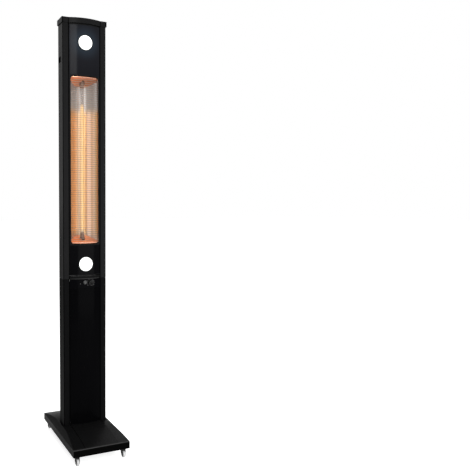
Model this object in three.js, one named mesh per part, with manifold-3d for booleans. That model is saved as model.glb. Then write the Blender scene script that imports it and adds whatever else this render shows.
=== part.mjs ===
// Free-standing infrared patio heater: a weighted foot on castors, a short lower column with the
// controls, and an upper frame of two posts that holds a long radiant head on a tilt axis.
// Millimetres, +Z up, front (control side) towards -Y, origin on the floor under the foot's centre.

import * as THREE from 'three';
import { mergeVertices } from 'three/addons/utils/BufferGeometryUtils.js';
import Module from 'manifold-3d';

// ---------------------------------------------------------------- driving dimensions

const towerHeight = 1860;
const bodyWidth = 196;
const bodyDepth = 66;
const railWidth = 28;
const panelBow = 14;
const columnOffset = 18;
const seamHeight = 740;

const baseWidth = 248;
const baseDepth = 460;
const rimBottom = 41;
const rimTop = 71;
const crownRise = 25;
const crownDrop = 4;
const creaseHalfWidth = 72;
const plateThickness = 4;
const plateRecess = 0.5;
const ballastMargin = 40;
const ballastToPanel = 12;
const ballastDrop = 5;
const footEarHeight = 70;

const wheelRadius = 14;
const wheelWidth = 10;
const castorInsetX = 22;
const castorInsetY = 25;
const castorTrail = 8;
const forkWall = 2.5;
const forkClearance = 0.8;
const stemRadius = 4.5;
const axleRadius = 2.5;

const capHeight = 22;
const capOverhang = 3;
const crossbarThickness = 7;
const crossbarInsetX = 4;
const crossbarInsetY = 5;
const footBarLift = 4;
const footBarThickness = 9;

const headClearance = 4;
const headSideGap = 1.5;
const headBackInset = 1.5;
const endCapThickness = 3;
const tiltAxisY = 8;
const tiltAxisDrop = 146;

const windowTopDrop = 217;
const windowBottomRise = 137;
const windowSideBorder = 5.5;
const windowBorder = 5;
const wirePitch = 9.5;
const wireThickness = 1.6;
const wireRodWidth = 2.4;

const troughSideInset = 6.5;
const troughSetback = 3;
const troughLipDepth = 20;
const troughBackInset = 8.5;
const troughSheet = 1.2;
const endSlopeRise = 34;
const endSlopeSheet = 1.8;

const lampY = 2;
const lampRadius = 7;
const lampWall = 1.2;
const lampEndRadius = 9;
const lampEndLength = 38;
const lampTopDrop = 45;
const lampBottomRise = 48;
const glowTopDrop = 66;
const glowBottomRise = 10;

const ledRadius = 31.5;
const ledRimWidth = 2;
const ledUpperDrop = 76;
const ledLowerRise = 49;

const fasciaHeight = 41;
const knobX = 23;
const knobDrop = 17.5;
const knobRadius = 14;
const knobHeight = 11;
const buttonX = -4;
const buttonDrop = 14;
const buttonRadius = 8.5;
const buttonTravel = 2.2;
const statusX = -25;
const statusDrop = 20;
const boardSetback = 14.5;
const driverDrop = 100;
const driverHeight = 80;
const glandZ = 150;
const glandRadius = 9;

const spindleRadius = 19;
const spindleWall = 3;
const spindleLength = 36;
const bearingRadius = 30;
const topPlateDrop = 3;
const topPlateThickness = 6;
const collarHeight = 10.4;
const bearingRise = 0.6;
const shaftRadius = 8.7;
const bushWall = 3;
const bushLength = 7;
const coverHalfY = 17;
const coverHalfZ = 12;

const sheet = 2;
const panelSheet = 2.5;
const touchGap = 0.3;
const runGap = 0.3;
const arcSteps = 12;
const roundSides = 24;
const fineSides = 32;

// ---------------------------------------------------------------- sizes that follow from them

const halfWidth = bodyWidth / 2;
const halfDepth = bodyDepth / 2;
const railInner = halfWidth - railWidth;
const panelHalfWidth = railInner - touchGap;
const plateTop = rimBottom + plateRecess + plateThickness;
const columnBottom = plateTop + touchGap;
const columnTop = seamHeight - touchGap;

const footBarBottom = seamHeight + footBarLift;
const footBarTop = footBarBottom + footBarThickness;
const capUnderside = towerHeight - capHeight;
const headBottom = footBarTop + headClearance;
const headTop = capUnderside - headClearance;
const headHalfWidth = railInner - headSideGap;
const headBack = halfDepth - headBackInset;
const tiltAxisZ = headTop - tiltAxisDrop;

const windowBottom = headBottom + windowBottomRise;
const windowTop = headTop - windowTopDrop;
const windowHalfWidth = headHalfWidth - windowSideBorder;
const troughHalfWidth = headHalfWidth - troughSideInset;
const troughFront = troughSetback - halfDepth;
const troughLip = troughFront + troughLipDepth;
const troughBack = headBack - troughBackInset;

const lampBottom = windowBottom + lampBottomRise;
const lampTop = windowTop - lampTopDrop;
const glowBottom = lampBottom + glowBottomRise;
const glowTop = lampTop - glowTopDrop;
const ledUpperZ = headTop - ledUpperDrop;
const ledLowerZ = headBottom + ledLowerRise;

const fasciaBottom = seamHeight - fasciaHeight;
const knobZ = seamHeight - knobDrop;
const buttonZ = seamHeight - buttonDrop;
const statusZ = seamHeight - statusDrop;
const spindleBore = spindleRadius - spindleWall;
const bushRadius = shaftRadius + runGap + bushWall;

// ---------------------------------------------------------------- finishes

const finishes = {
  satinBlack: { color: 0x1b1b1c, roughness: 0.42, metalness: 0.35 },
  blackPlastic: { color: 0x141415, roughness: 0.5, metalness: 0 },
  glossBlack: { color: 0x0b0b0c, roughness: 0.18, metalness: 0 },
  darkIron: { color: 0x2e2e30, roughness: 0.7, metalness: 0.6 },
  steel: { color: 0x9a9c9f, roughness: 0.35, metalness: 1 },
  polished: { color: 0xd9d6d0, roughness: 0.12, metalness: 1 },
  greyRubber: { color: 0x8f9192, roughness: 0.75, metalness: 0 },
  ceramic: { color: 0xe6e0d4, roughness: 0.55, metalness: 0 },
  amberGlass: { color: 0xffb066, roughness: 0.1, metalness: 0 },
  filament: { color: 0xffe0a0, roughness: 0.6, metalness: 0 },
  whiteLens: { color: 0xf6f9ff, roughness: 0.25, metalness: 0 },
  board: { color: 0x1f5a38, roughness: 0.55, metalness: 0 },
  bronze: { color: 0xa9793f, roughness: 0.4, metalness: 0.9 },
};

// ---------------------------------------------------------------- solid helpers

const wasm = await Module();
wasm.setup();

function toSolid(geometry) {
  const bare = geometry.clone();
  bare.deleteAttribute('normal');
  bare.deleteAttribute('uv');
  const merged = mergeVertices(bare, 1e-4);
  const vertProperties = new Float32Array(merged.attributes.position.array);
  const triVerts = new Uint32Array(merged.index.array);
  return new wasm.Manifold(new wasm.Mesh({ numProp: 3, vertProperties, triVerts }));
}

function toGeometry(solid) {
  const mesh = solid.getMesh();
  const geometry = new THREE.BufferGeometry();
  geometry.setAttribute('position', new THREE.BufferAttribute(new Float32Array(mesh.vertProperties), 3));
  geometry.setIndex(new THREE.BufferAttribute(new Uint32Array(mesh.triVerts), 1));
  geometry.computeVertexNormals();
  return geometry;
}

function cut(geometry, ...tools) {
  return toGeometry(tools.reduce((solid, tool) => solid.subtract(toSolid(tool)), toSolid(geometry)));
}

function join(...pieces) {
  const solids = pieces.map(toSolid);
  return toGeometry(solids.reduce((total, solid) => total.add(solid)));
}

function common(first, second) {
  return toGeometry(toSolid(first).intersect(toSolid(second)));
}

function block(x0, x1, y0, y1, z0, z1) {
  const geometry = new THREE.BoxGeometry(x1 - x0, y1 - y0, z1 - z0);
  return geometry.translate((x0 + x1) / 2, (y0 + y1) / 2, (z0 + z1) / 2);
}

function rodX(radius, x0, x1, y, z, sides = roundSides) {
  const geometry = new THREE.CylinderGeometry(radius, radius, x1 - x0, sides);
  return geometry.rotateZ(Math.PI / 2).translate((x0 + x1) / 2, y, z);
}

function rodY(radius, y0, y1, x, z, sides = roundSides) {
  return new THREE.CylinderGeometry(radius, radius, y1 - y0, sides).translate(x, (y0 + y1) / 2, z);
}

function rodZ(radius, z0, z1, x, y, sides = roundSides) {
  const geometry = new THREE.CylinderGeometry(radius, radius, z1 - z0, sides);
  return geometry.rotateX(Math.PI / 2).translate(x, y, (z0 + z1) / 2);
}

function extrudeZ(shape, z0, z1, curveSegments = 3) {
  const options = { depth: z1 - z0, bevelEnabled: false, curveSegments };
  return new THREE.ExtrudeGeometry(shape, options).translate(0, 0, z0);
}

// Solid of revolution about Z from [radius, z] pairs that start and end on the axis.
function turned(profile, sides = roundSides) {
  const points = profile.map(([radius, z]) => new THREE.Vector2(radius, z));
  return new THREE.LatheGeometry(points, sides).rotateX(Math.PI / 2);
}

function addPart(group, name, geometry, finish) {
  const mesh = new THREE.Mesh(geometry, new THREE.MeshStandardMaterial(finishes[finish]));
  mesh.name = name;
  group.add(mesh);
  return mesh;
}

// ---------------------------------------------------------------- outlines seen from above

// Front line of the bowed panels: flat at the edges' depth and fullest on the centre line.
function bowY(x, reach = panelHalfWidth) {
  return -halfDepth - panelBow * (1 - (x / reach) ** 2);
}

function bowPoints(reach, offset) {
  const points = [];
  for (let step = 0; step <= arcSteps; step += 1) {
    const x = reach * (2 * step / arcSteps - 1);
    points.push(new THREE.Vector2(x, bowY(x, reach) + offset));
  }
  return points;
}

// Strip of panel sheet that follows the bow.
function bowedSheet(reach, z0, z1) {
  const outer = bowPoints(reach, 0);
  const inner = bowPoints(reach, panelSheet).reverse();
  return extrudeZ(new THREE.Shape([...outer, ...inner]), z0, z1);
}

// Full plate with a bowed front edge.
function bowedPlate(reach, back, z0, z1, inset = 0) {
  const outline = bowPoints(reach, inset);
  outline.push(new THREE.Vector2(reach, back), new THREE.Vector2(-reach, back));
  return extrudeZ(new THREE.Shape(outline), z0, z1);
}

function roundedOutline(path, x0, x1, y0, y1, radius) {
  path.moveTo(x0 + radius, y0);
  path.lineTo(x1 - radius, y0);
  path.absarc(x1 - radius, y0 + radius, radius, -Math.PI / 2, 0);
  path.lineTo(x1, y1 - radius);
  path.absarc(x1 - radius, y1 - radius, radius, 0, Math.PI / 2);
  path.lineTo(x0 + radius, y1);
  path.absarc(x0 + radius, y1 - radius, radius, Math.PI / 2, Math.PI);
  path.lineTo(x0, y0 + radius);
  path.absarc(x0 + radius, y0 + radius, radius, Math.PI, Math.PI * 1.5);
  return path;
}

// Rectangular tube that serves as column rail and as frame post, on the side given by its sign.
function railTube(side, z0, z1) {
  const middle = side * (halfWidth - railWidth / 2);
  const x0 = middle - railWidth / 2;
  const x1 = middle + railWidth / 2;
  const shape = roundedOutline(new THREE.Shape(), x0, x1, -halfDepth, halfDepth, 3);
  const bore = [x0 + sheet, x1 - sheet, -halfDepth + sheet, halfDepth - sheet];
  shape.holes.push(roundedOutline(new THREE.Path(), ...bore, 1.2));
  return extrudeZ(shape, z0, z1, 2);
}

const sides = { left: -1, right: 1 };

// ---------------------------------------------------------------- foot

// One level of the hipped cover: s runs from the rim (0) to the column (1).
function hipRing(s, inset) {
  const mix = (from, to) => from + (to - from) * s;
  const x = mix(baseWidth / 2, halfWidth + 1.5) - inset;
  const front = mix(-baseDepth / 2, columnOffset - halfDepth - 1.5) + inset;
  const back = mix(baseDepth / 2, columnOffset + halfDepth + 1.5) - inset;
  const crest = rimTop + crownRise * (1 - (1 - s) ** 2) - inset;
  const corner = crest - crownDrop * s;
  const c = creaseHalfWidth;
  return [
    [-x, front, corner], [-c, front, crest], [c, front, crest], [x, front, corner],
    [x, back, corner], [c, back, crest], [-c, back, crest], [-x, back, corner],
  ];
}

function hipSolid(inset, bottom) {
  const levels = [0, 0.12, 0.28, 0.5, 0.75, 1].map((s) => hipRing(s, inset));
  const rings = [levels[0].map(([x, y]) => [x, y, bottom]), ...levels];
  const ringSize = 8;
  const index = [];
  for (let level = 0; level < rings.length - 1; level += 1) {
    for (let k = 0; k < ringSize; k += 1) {
      const a = level * ringSize + k;
      const b = level * ringSize + (k + 1) % ringSize;
      index.push(a, b, b + ringSize, a, b + ringSize, a + ringSize);
    }
  }
  const top = (rings.length - 1) * ringSize;
  for (const [a, b, c, d] of [[0, 1, 6, 7], [1, 2, 5, 6], [2, 3, 4, 5]]) {
    index.push(top + a, top + b, top + c, top + a, top + c, top + d);
    index.push(a, c, b, a, d, c);
  }
  const geometry = new THREE.BufferGeometry();
  geometry.setAttribute('position', new THREE.Float32BufferAttribute(rings.flat(2), 3));
  geometry.setIndex(index);
  return geometry;
}

function columnOutline(clearance, z0, z1) {
  const wide = halfWidth + clearance;
  const outline = [new THREE.Vector2(-wide, -halfDepth - clearance)];
  outline.push(...bowPoints(panelHalfWidth + clearance, -clearance));
  outline.push(new THREE.Vector2(wide, -halfDepth - clearance));
  outline.push(new THREE.Vector2(wide, halfDepth + clearance));
  outline.push(new THREE.Vector2(-wide, halfDepth + clearance));
  return extrudeZ(new THREE.Shape(outline), z0, z1).translate(0, columnOffset, 0);
}

function baseCover() {
  const hollow = hipSolid(sheet, rimBottom - 1);
  return cut(hipSolid(0, rimBottom), hollow, columnOutline(0.5, rimTop, towerHeight));
}

const castorX = baseWidth / 2 - castorInsetX;
const castorY = baseDepth / 2 - castorInsetY;
const castorPlaces = {
  front_left: [-castorX, -castorY],
  front_right: [castorX, -castorY],
  rear_left: [-castorX, castorY],
  rear_right: [castorX, castorY],
};

function basePlate() {
  const x = baseWidth / 2 - sheet - touchGap;
  const y = baseDepth / 2 - sheet - touchGap;
  const holes = Object.values(castorPlaces).map(([cx, cy]) => (
    rodZ(stemRadius + runGap, 0, rimTop, cx, cy, 16)));
  return cut(block(-x, x, -y, y, rimBottom + plateRecess, plateTop), ...holes);
}

function castorFork() {
  const legX = wheelWidth / 2 + forkClearance;
  const crownTop = rimBottom + plateRecess - runGap;
  const crownRadius = 12;
  const eyeRadius = axleRadius * 2;
  const crown = rodZ(crownRadius, crownTop - 5, crownTop, 0, 0, 20);
  const stem = rodZ(stemRadius, crownTop - 1, plateTop + 6, 0, 0, 16);
  const legs = [-1, 1].map((side) => {
    const x0 = side > 0 ? legX : -legX - forkWall;
    const shape = new THREE.Shape();
    shape.moveTo(-crownRadius + 5, crownTop - 4);
    shape.lineTo(castorTrail - eyeRadius, wheelRadius);
    shape.absarc(castorTrail, wheelRadius, eyeRadius, Math.PI, 0);
    shape.lineTo(crownRadius - 3, crownTop - 4);
    const options = { depth: forkWall, bevelEnabled: false, curveSegments: 5 };
    const leg = new THREE.ExtrudeGeometry(shape, options);
    return leg.rotateX(Math.PI / 2).rotateZ(Math.PI / 2).translate(x0, 0, 0);
  });
  const bore = rodX(axleRadius + touchGap, -20, 20, castorTrail, wheelRadius, 12);
  return cut(join(crown, stem, ...legs), bore);
}

function castorWheel() {
  const facets = 24;
  const outer = wheelRadius / Math.cos(Math.PI / facets);
  const half = wheelWidth / 2;
  const points = [[0, -half], [outer - 1.5, -half], [outer, -half + 1.5], [outer, half - 1.5],
    [outer - 1.5, half], [0, half]];
  const profile = points.map(([radius, x]) => new THREE.Vector2(radius, x));
  const tyre = new THREE.LatheGeometry(profile, facets);
  tyre.rotateY(Math.PI / facets).rotateZ(-Math.PI / 2).translate(0, castorTrail, wheelRadius);
  return cut(tyre, rodX(axleRadius + runGap, -20, 20, castorTrail, wheelRadius, 12));
}

function castorAxle() {
  const reach = wheelWidth / 2 + forkClearance + forkWall + 0.7;
  return rodX(axleRadius, -reach, reach, castorTrail, wheelRadius, 12);
}

function ballastBlock() {
  const x = baseWidth / 2 - ballastMargin;
  const front = -baseDepth / 2 + ballastMargin;
  const back = columnOffset - halfDepth - panelBow - ballastToPanel;
  return block(-x, x, front, back, plateTop + touchGap, rimTop - ballastDrop);
}

function columnFoot() {
  const reach = railInner - touchGap;
  const depth = halfDepth - 6;
  const bottom = plateTop + touchGap;
  const flange = block(-reach, reach, -depth, depth, bottom, bottom + 4);
  const top = bottom + footEarHeight;
  const ears = [-1, 1].map((side) => {
    const middle = side * (reach - 2);
    return block(middle - 2, middle + 2, -depth, depth, bottom, top);
  });
  return join(flange, ...ears);
}

// ---------------------------------------------------------------- lower column

const fasciaFaceY = bowY(0);

function columnFrontPanel() {
  return bowedSheet(panelHalfWidth, columnBottom, fasciaBottom);
}

function columnRearPanel() {
  const x = panelHalfWidth;
  const panel = block(-x, x, halfDepth - sheet, halfDepth, columnBottom, columnTop);
  return cut(panel, rodY(glandRadius + touchGap, 0, bodyDepth, 0, glandZ));
}

function columnTopPlate() {
  const reach = panelHalfWidth - touchGap;
  const top = seamHeight - topPlateDrop;
  const plate = bowedPlate(reach, halfDepth - sheet - touchGap, top - topPlateThickness, top, 7);
  return cut(plate, rodZ(spindleRadius + runGap, 0, towerHeight, 0, 0));
}

function controlFascia() {
  const skin = bowedSheet(panelHalfWidth, fasciaBottom + touchGap, columnTop);
  const boss = rodY(knobRadius + 2, fasciaFaceY - 0.4, fasciaFaceY + 5.5, knobX, knobZ, fineSides);
  const knobHole = rodY(4, -bodyDepth, 0, knobX, knobZ, 20);
  const buttonHole = rodY(buttonRadius + runGap, -bodyDepth, 0, buttonX, buttonZ);
  const statusHole = rodY(2.3, -bodyDepth, 0, statusX, statusZ, 16);
  return cut(join(skin, boss), knobHole, buttonHole, statusHole);
}

// Skirted knob with a raised grip bar, turning about the line through its shaft.
function rotaryKnob() {
  const back = fasciaFaceY - 0.4 - runGap;
  const front = back - knobHeight;
  const skirt = rodY(knobRadius, back - 2.5, back, knobX, knobZ, fineSides);
  const dome = new THREE.CylinderGeometry(knobRadius - 1.2, knobRadius - 3, knobHeight - 2, fineSides);
  dome.rotateX(Math.PI).translate(knobX, back - (knobHeight + 1) / 2, knobZ);
  const gripReach = knobRadius - 5;
  const grip = block(knobX - 2, knobX + 2, front - 1.5, back - 2, knobZ - gripReach, knobZ + gripReach);
  const shaft = rodY(3.5, back - 1, fasciaFaceY + 14, knobX, knobZ, 20);
  return join(skirt, dome, grip, shaft);
}

function lightButton() {
  const front = fasciaFaceY - buttonTravel - 0.2;
  const cap = rodY(buttonRadius, front, fasciaFaceY + 4, buttonX, buttonZ);
  const rib = rodY(buttonRadius - 2.5, front - 0.6, fasciaFaceY, buttonX, buttonZ);
  const stemEnd = fasciaFaceY + boardSetback - buttonTravel - 1.3;
  const stem = rodY(3, fasciaFaceY + 3, stemEnd, buttonX, buttonZ, 16);
  return join(cap, rib, stem);
}

function statusLens() {
  return rodY(2, bowY(statusX) - 0.6, bowY(statusX) + 4, statusX, statusZ, 16);
}

function controlBoard() {
  const face = fasciaFaceY + boardSetback;
  const top = seamHeight - topPlateDrop - topPlateThickness - 1;
  const board = block(-52, 52, face, face + 1.6, fasciaBottom - 18, top);
  const relay = block(-46, -20, face + 1.5, face + 11, fasciaBottom - 16, fasciaBottom);
  const socket = block(16, 46, face + 1.5, face + 9, fasciaBottom - 16, fasciaBottom - 4);
  return join(board, relay, socket);
}

function powerDriver() {
  const top = seamHeight - driverDrop;
  const bottom = top - driverHeight;
  const back = halfDepth - 11;
  const body = block(-45, 45, back - 36, back, bottom, top);
  const tabs = block(-58, 58, back - 2, back, bottom + 6, top - 6);
  return join(body, tabs);
}

function mainsGland() {
  const thread = rodY(glandRadius, halfDepth - 10, halfDepth + 4, 0, glandZ);
  const nut = rodY(glandRadius + 4, halfDepth + touchGap, halfDepth + 6, 0, glandZ, 6);
  const dome = rodY(glandRadius - 1, halfDepth + 5, halfDepth + 14, 0, glandZ);
  return join(thread, nut, dome);
}

// ---------------------------------------------------------------- turning joint and frame

function swivelBearing() {
  const bottom = seamHeight - topPlateDrop + touchGap;
  const ring = rodZ(bearingRadius, bottom, seamHeight + bearingRise, 0, 0);
  return cut(ring, rodZ(spindleRadius + runGap, 0, towerHeight, 0, 0));
}

function swivelSpindle() {
  const flangeBottom = seamHeight + bearingRise + touchGap;
  const flange = rodZ(bearingRadius - 2, flangeBottom, footBarBottom - touchGap, 0, 0);
  const body = rodZ(spindleRadius, seamHeight - spindleLength, flangeBottom + 0.6, 0, 0);
  return cut(join(flange, body), rodZ(spindleBore, 0, towerHeight, 0, 0));
}

function spindleCollar() {
  const top = seamHeight - topPlateDrop - topPlateThickness - 2 * runGap;
  const ring = rodZ(bearingRadius - 4, top - collarHeight, top, 0, 0);
  return cut(ring, rodZ(spindleRadius + touchGap, 0, towerHeight, 0, 0));
}

function footBar() {
  const plate = bowedPlate(panelHalfWidth, halfDepth, footBarBottom, footBarTop);
  return cut(plate, rodZ(spindleBore, 0, towerHeight, 0, 0));
}

const postBottom = seamHeight + 1;
const postTop = capUnderside - touchGap;

function coverBlock(side, margin, depth) {
  const outer = side * (halfWidth + (margin > 0 ? 1 : 0));
  const inner = side * (halfWidth - depth);
  const y = coverHalfY + margin;
  const z = coverHalfZ + margin;
  return block(Math.min(outer, inner), Math.max(outer, inner),
    tiltAxisY + 3 - y, tiltAxisY + 3 + y, tiltAxisZ - z, tiltAxisZ + z);
}

function framePost(side) {
  const reach = railInner + bushLength + 1;
  const bushHole = rodX(bushRadius + touchGap, -reach, reach, tiltAxisY, tiltAxisZ);
  return cut(railTube(side, postBottom, postTop), bushHole, coverBlock(side, touchGap, sheet + 1));
}

function pivotCover(side) {
  return coverBlock(side, 0, sheet);
}

function sideRod(side, radius, from, to) {
  const x0 = Math.min(side * from, side * to);
  const x1 = Math.max(side * from, side * to);
  return rodX(radius, x0, x1, tiltAxisY, tiltAxisZ);
}

function pivotBush(side) {
  const barrel = sideRod(side, bushRadius, railInner, railInner + bushLength);
  const flange = sideRod(side, bushRadius + 3, railInner + sheet + touchGap, railInner + 5);
  return cut(join(barrel, flange), sideRod(side, shaftRadius + runGap, 0, halfWidth));
}

function pivotShaft(side) {
  const wallInner = headHalfWidth - sheet;
  const flange = sideRod(side, bushRadius + 3, wallInner - touchGap - 3, wallInner - touchGap);
  const shaft = sideRod(side, shaftRadius, wallInner - 2, railInner + bushLength * 2);
  return join(flange, shaft);
}

function topCrossbar() {
  const x = halfWidth - crossbarInsetX;
  const y = halfDepth - crossbarInsetY;
  const bottom = capUnderside + touchGap;
  return block(-x, x, -y, y, bottom, bottom + crossbarThickness);
}

function topCap() {
  const wide = halfWidth + capOverhang;
  const edge = halfDepth + capOverhang;
  const outline = [new THREE.Vector2(-wide, -edge)];
  outline.push(...bowPoints(railInner, -capOverhang));
  outline.push(new THREE.Vector2(wide, -edge));
  outline.push(new THREE.Vector2(wide, edge));
  outline.push(new THREE.Vector2(-wide, edge));
  const body = extrudeZ(new THREE.Shape(outline), capUnderside, towerHeight);
  const x = halfWidth - crossbarInsetX + touchGap;
  const y = halfDepth - crossbarInsetY + touchGap;
  const recess = block(-x, x, -y, y, capUnderside - 1, capUnderside + crossbarThickness + 2 * touchGap);
  return cut(body, recess);
}

// ---------------------------------------------------------------- radiant head

const shellBottom = headBottom + endCapThickness + touchGap;
const shellTop = headTop - endCapThickness - touchGap;
const shellFront = -halfDepth + panelSheet + touchGap;
const frameBottom = windowBottom - windowBorder;
const frameTop = windowTop + windowBorder;

function headRearShell() {
  const wall = headHalfWidth - sheet;
  const body = block(-headHalfWidth, headHalfWidth, shellFront, headBack, shellBottom, shellTop);
  const hollow = block(-wall, wall, shellFront - 1, headBack - sheet, shellBottom - 1, shellTop + 1);
  const bore = rodX(shaftRadius + touchGap, -bodyWidth, bodyWidth, tiltAxisY, tiltAxisZ);
  return cut(body, hollow, bore);
}

function headFront(z0, z1, ledZ) {
  const hole = rodY(ledRadius + ledRimWidth + touchGap, -bodyDepth, 0, 0, ledZ, fineSides);
  return cut(bowedSheet(headHalfWidth, z0, z1), hole);
}

function headEndCap(bottom) {
  return bowedPlate(headHalfWidth, headBack, bottom, bottom + endCapThickness);
}

function windowFrame() {
  const sheetStrip = bowedSheet(headHalfWidth, frameBottom, frameTop);
  const opening = block(-windowHalfWidth, windowHalfWidth, -bodyDepth, 0, windowBottom, windowTop);
  return cut(sheetStrip, opening);
}

// Guard of horizontal wires between two side rods, following the bow: a grid of cells that is
// solid in every wire row and in the outer columns, closed front, back and round every slot.
function guardGrille() {
  const reach = headHalfWidth - sheet - touchGap;
  const bendSteps = 4;
  const bends = Array.from({ length: bendSteps + 1 }, (_, k) => (
    (reach - wireRodWidth) * (2 * k / bendSteps - 1)));
  const columns = [-reach, ...bends, reach];
  const rows = [];
  const span = frameTop - frameBottom - 2;
  const wires = Math.round(span / wirePitch) + 1;
  const pitch = (span - wireThickness) / (wires - 1);
  for (let wire = 0; wire < wires; wire += 1) {
    const low = frameBottom + 1 + wire * pitch;
    rows.push(low, low + wireThickness);
  }
  const solidCell = (column, row) => {
    if (column < 0 || row < 0 || column >= columns.length - 1 || row >= rows.length - 1) return false;
    return row % 2 === 0 || column === 0 || column === columns.length - 2;
  };
  const offset = panelSheet + touchGap;
  const positions = [];
  for (const z of rows) {
    for (const x of columns) {
      const front = bowY(x, headHalfWidth) + offset;
      positions.push(x, front, z, x, front + wireThickness, z);
    }
  }
  const vertex = (column, row, back) => (row * columns.length + column) * 2 + back;
  const index = [];
  const quad = (a, b, c, d) => index.push(a, b, c, a, c, d);
  for (let row = 0; row < rows.length - 1; row += 1) {
    for (let column = 0; column < columns.length - 1; column += 1) {
      if (!solidCell(column, row)) continue;
      const [a, b] = [vertex(column, row, 0), vertex(column + 1, row, 0)];
      const [c, d] = [vertex(column + 1, row + 1, 0), vertex(column, row + 1, 0)];
      quad(a, b, c, d);
      quad(a + 1, d + 1, c + 1, b + 1);
      if (!solidCell(column, row - 1)) quad(a, a + 1, b + 1, b);
      if (!solidCell(column, row + 1)) quad(d, c, c + 1, d + 1);
      if (!solidCell(column - 1, row)) quad(a, d, d + 1, a + 1);
      if (!solidCell(column + 1, row)) quad(b, b + 1, c + 1, c);
    }
  }
  const geometry = new THREE.BufferGeometry();
  geometry.setAttribute('position', new THREE.Float32BufferAttribute(positions, 3));
  geometry.setIndex(index);
  return geometry;
}

// Inside line of the trough: straight lips, then a parabola round the lamp.
function troughLine(inset) {
  const reach = troughHalfWidth - inset;
  const points = [new THREE.Vector2(-reach, troughFront)];
  const steps = 14;
  for (let step = 0; step <= steps; step += 1) {
    const t = 2 * step / steps - 1;
    points.push(new THREE.Vector2(reach * t, troughBack - inset - (troughBack - troughLip) * t * t));
  }
  points.push(new THREE.Vector2(reach, troughFront));
  return points;
}

const troughBottom = windowBottom + 2;
const troughTop = windowTop - 2;

function reflector() {
  const inner = troughLine(0);
  const outer = troughLine(-troughSheet).reverse();
  return extrudeZ(new THREE.Shape([...inner, ...outer]), troughBottom, troughTop);
}

// Sloping end of the trough: a thin slab cut to the trough's inside, with a hole for the lamp end.
function reflectorEnd(direction) {
  const edgeZ = direction > 0 ? troughTop : troughBottom;
  const inside = extrudeZ(new THREE.Shape(troughLine(0.4)), troughBottom, troughTop);
  const slope = new THREE.Shape();
  const start = edgeZ - direction * 2;
  const end = start - direction * endSlopeRise;
  slope.moveTo(troughFront - 5, start);
  slope.lineTo(troughBack + 5, end);
  slope.lineTo(troughBack + 5, end + direction * endSlopeSheet);
  slope.lineTo(troughFront - 5, start + direction * endSlopeSheet);
  const slab = new THREE.ExtrudeGeometry(slope, { depth: bodyWidth, bevelEnabled: false });
  slab.rotateX(Math.PI / 2).rotateZ(Math.PI / 2).translate(-halfWidth, 0, 0);
  return cut(common(slab, inside), rodZ(lampEndRadius + touchGap, 0, towerHeight, 0, lampY));
}

function lampTube() {
  const tube = rodZ(lampRadius, lampBottom, lampTop, 0, lampY);
  return cut(tube, rodZ(lampRadius - lampWall, 0, towerHeight, 0, lampY));
}

function lampFilament() {
  const profile = [[0, lampBottom], [1, lampBottom], [1, glowBottom], [3.2, glowBottom + 3],
    [3.2, glowTop - 3], [1, glowTop], [1, lampTop], [0, lampTop]];
  return turned(profile, 16).translate(0, lampY, 0);
}

function lampEnd(direction) {
  const start = direction > 0 ? lampTop + touchGap : lampBottom - touchGap;
  const neck = start + direction * (lampEndLength - 12);
  const end = start + direction * lampEndLength;
  const barrel = rodZ(lampEndRadius, Math.min(start, neck), Math.max(start, neck), 0, lampY);
  const terminal = rodZ(5, Math.min(neck - direction, end), Math.max(neck - direction, end), 0, lampY, 16);
  return join(barrel, terminal);
}

function ledHousing(z) {
  const front = bowY(0, headHalfWidth) - 0.8;
  const cup = rodY(ledRadius + ledRimWidth, front, front + 30, 0, z, fineSides);
  const pocket = rodY(ledRadius - 1, front - 1, front + 12, 0, z, fineSides);
  return cut(cup, pocket);
}

function ledLens(z) {
  const front = bowY(0, headHalfWidth) - 0.8;
  const radius = ledRadius - 1 - touchGap;
  const profile = [[0, 0], [radius, 0], [radius, 5], [radius * 0.92, 6.6], [radius * 0.6, 8], [0, 8.6]];
  return turned(profile, fineSides).rotateX(Math.PI / 2).translate(0, front + 6, z);
}

// ---------------------------------------------------------------- assembly

const heater = new THREE.Group();
const tower = new THREE.Group();
tower.position.y = columnOffset;
heater.add(tower);

addPart(heater, 'base_cover', baseCover(), 'satinBlack');
addPart(heater, 'base_plate', basePlate(), 'darkIron');
addPart(heater, 'ballast_block', ballastBlock(), 'darkIron');

for (const [place, [x, y]] of Object.entries(castorPlaces)) {
  const castor = new THREE.Group();
  castor.position.set(x, y, 0);
  castor.rotation.z = y < 0 ? Math.PI : 0;
  heater.add(castor);
  addPart(castor, `castor_fork_${place}`, castorFork(), 'blackPlastic');
  addPart(castor, `castor_axle_${place}`, castorAxle(), 'steel');
  addPart(castor, `castor_wheel_${place}`, castorWheel(), 'greyRubber');
}

addPart(tower, 'column_foot', columnFoot(), 'steel');
for (const [name, side] of Object.entries(sides)) {
  addPart(tower, `column_rail_${name}`, railTube(side, columnBottom, columnTop), 'satinBlack');
}
addPart(tower, 'column_front_panel', columnFrontPanel(), 'satinBlack');
addPart(tower, 'column_rear_panel', columnRearPanel(), 'satinBlack');
addPart(tower, 'column_top_plate', columnTopPlate(), 'steel');
addPart(tower, 'control_fascia', controlFascia(), 'glossBlack');
addPart(tower, 'rotary_knob', rotaryKnob(), 'blackPlastic');
addPart(tower, 'light_button', lightButton(), 'steel');
addPart(tower, 'status_lens', statusLens(), 'whiteLens');
addPart(tower, 'control_board', controlBoard(), 'board');
addPart(tower, 'power_driver', powerDriver(), 'steel');
addPart(tower, 'mains_gland', mainsGland(), 'blackPlastic');

addPart(tower, 'swivel_bearing', swivelBearing(), 'bronze');
addPart(tower, 'swivel_spindle', swivelSpindle(), 'steel');
addPart(tower, 'spindle_collar', spindleCollar(), 'steel');

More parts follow.
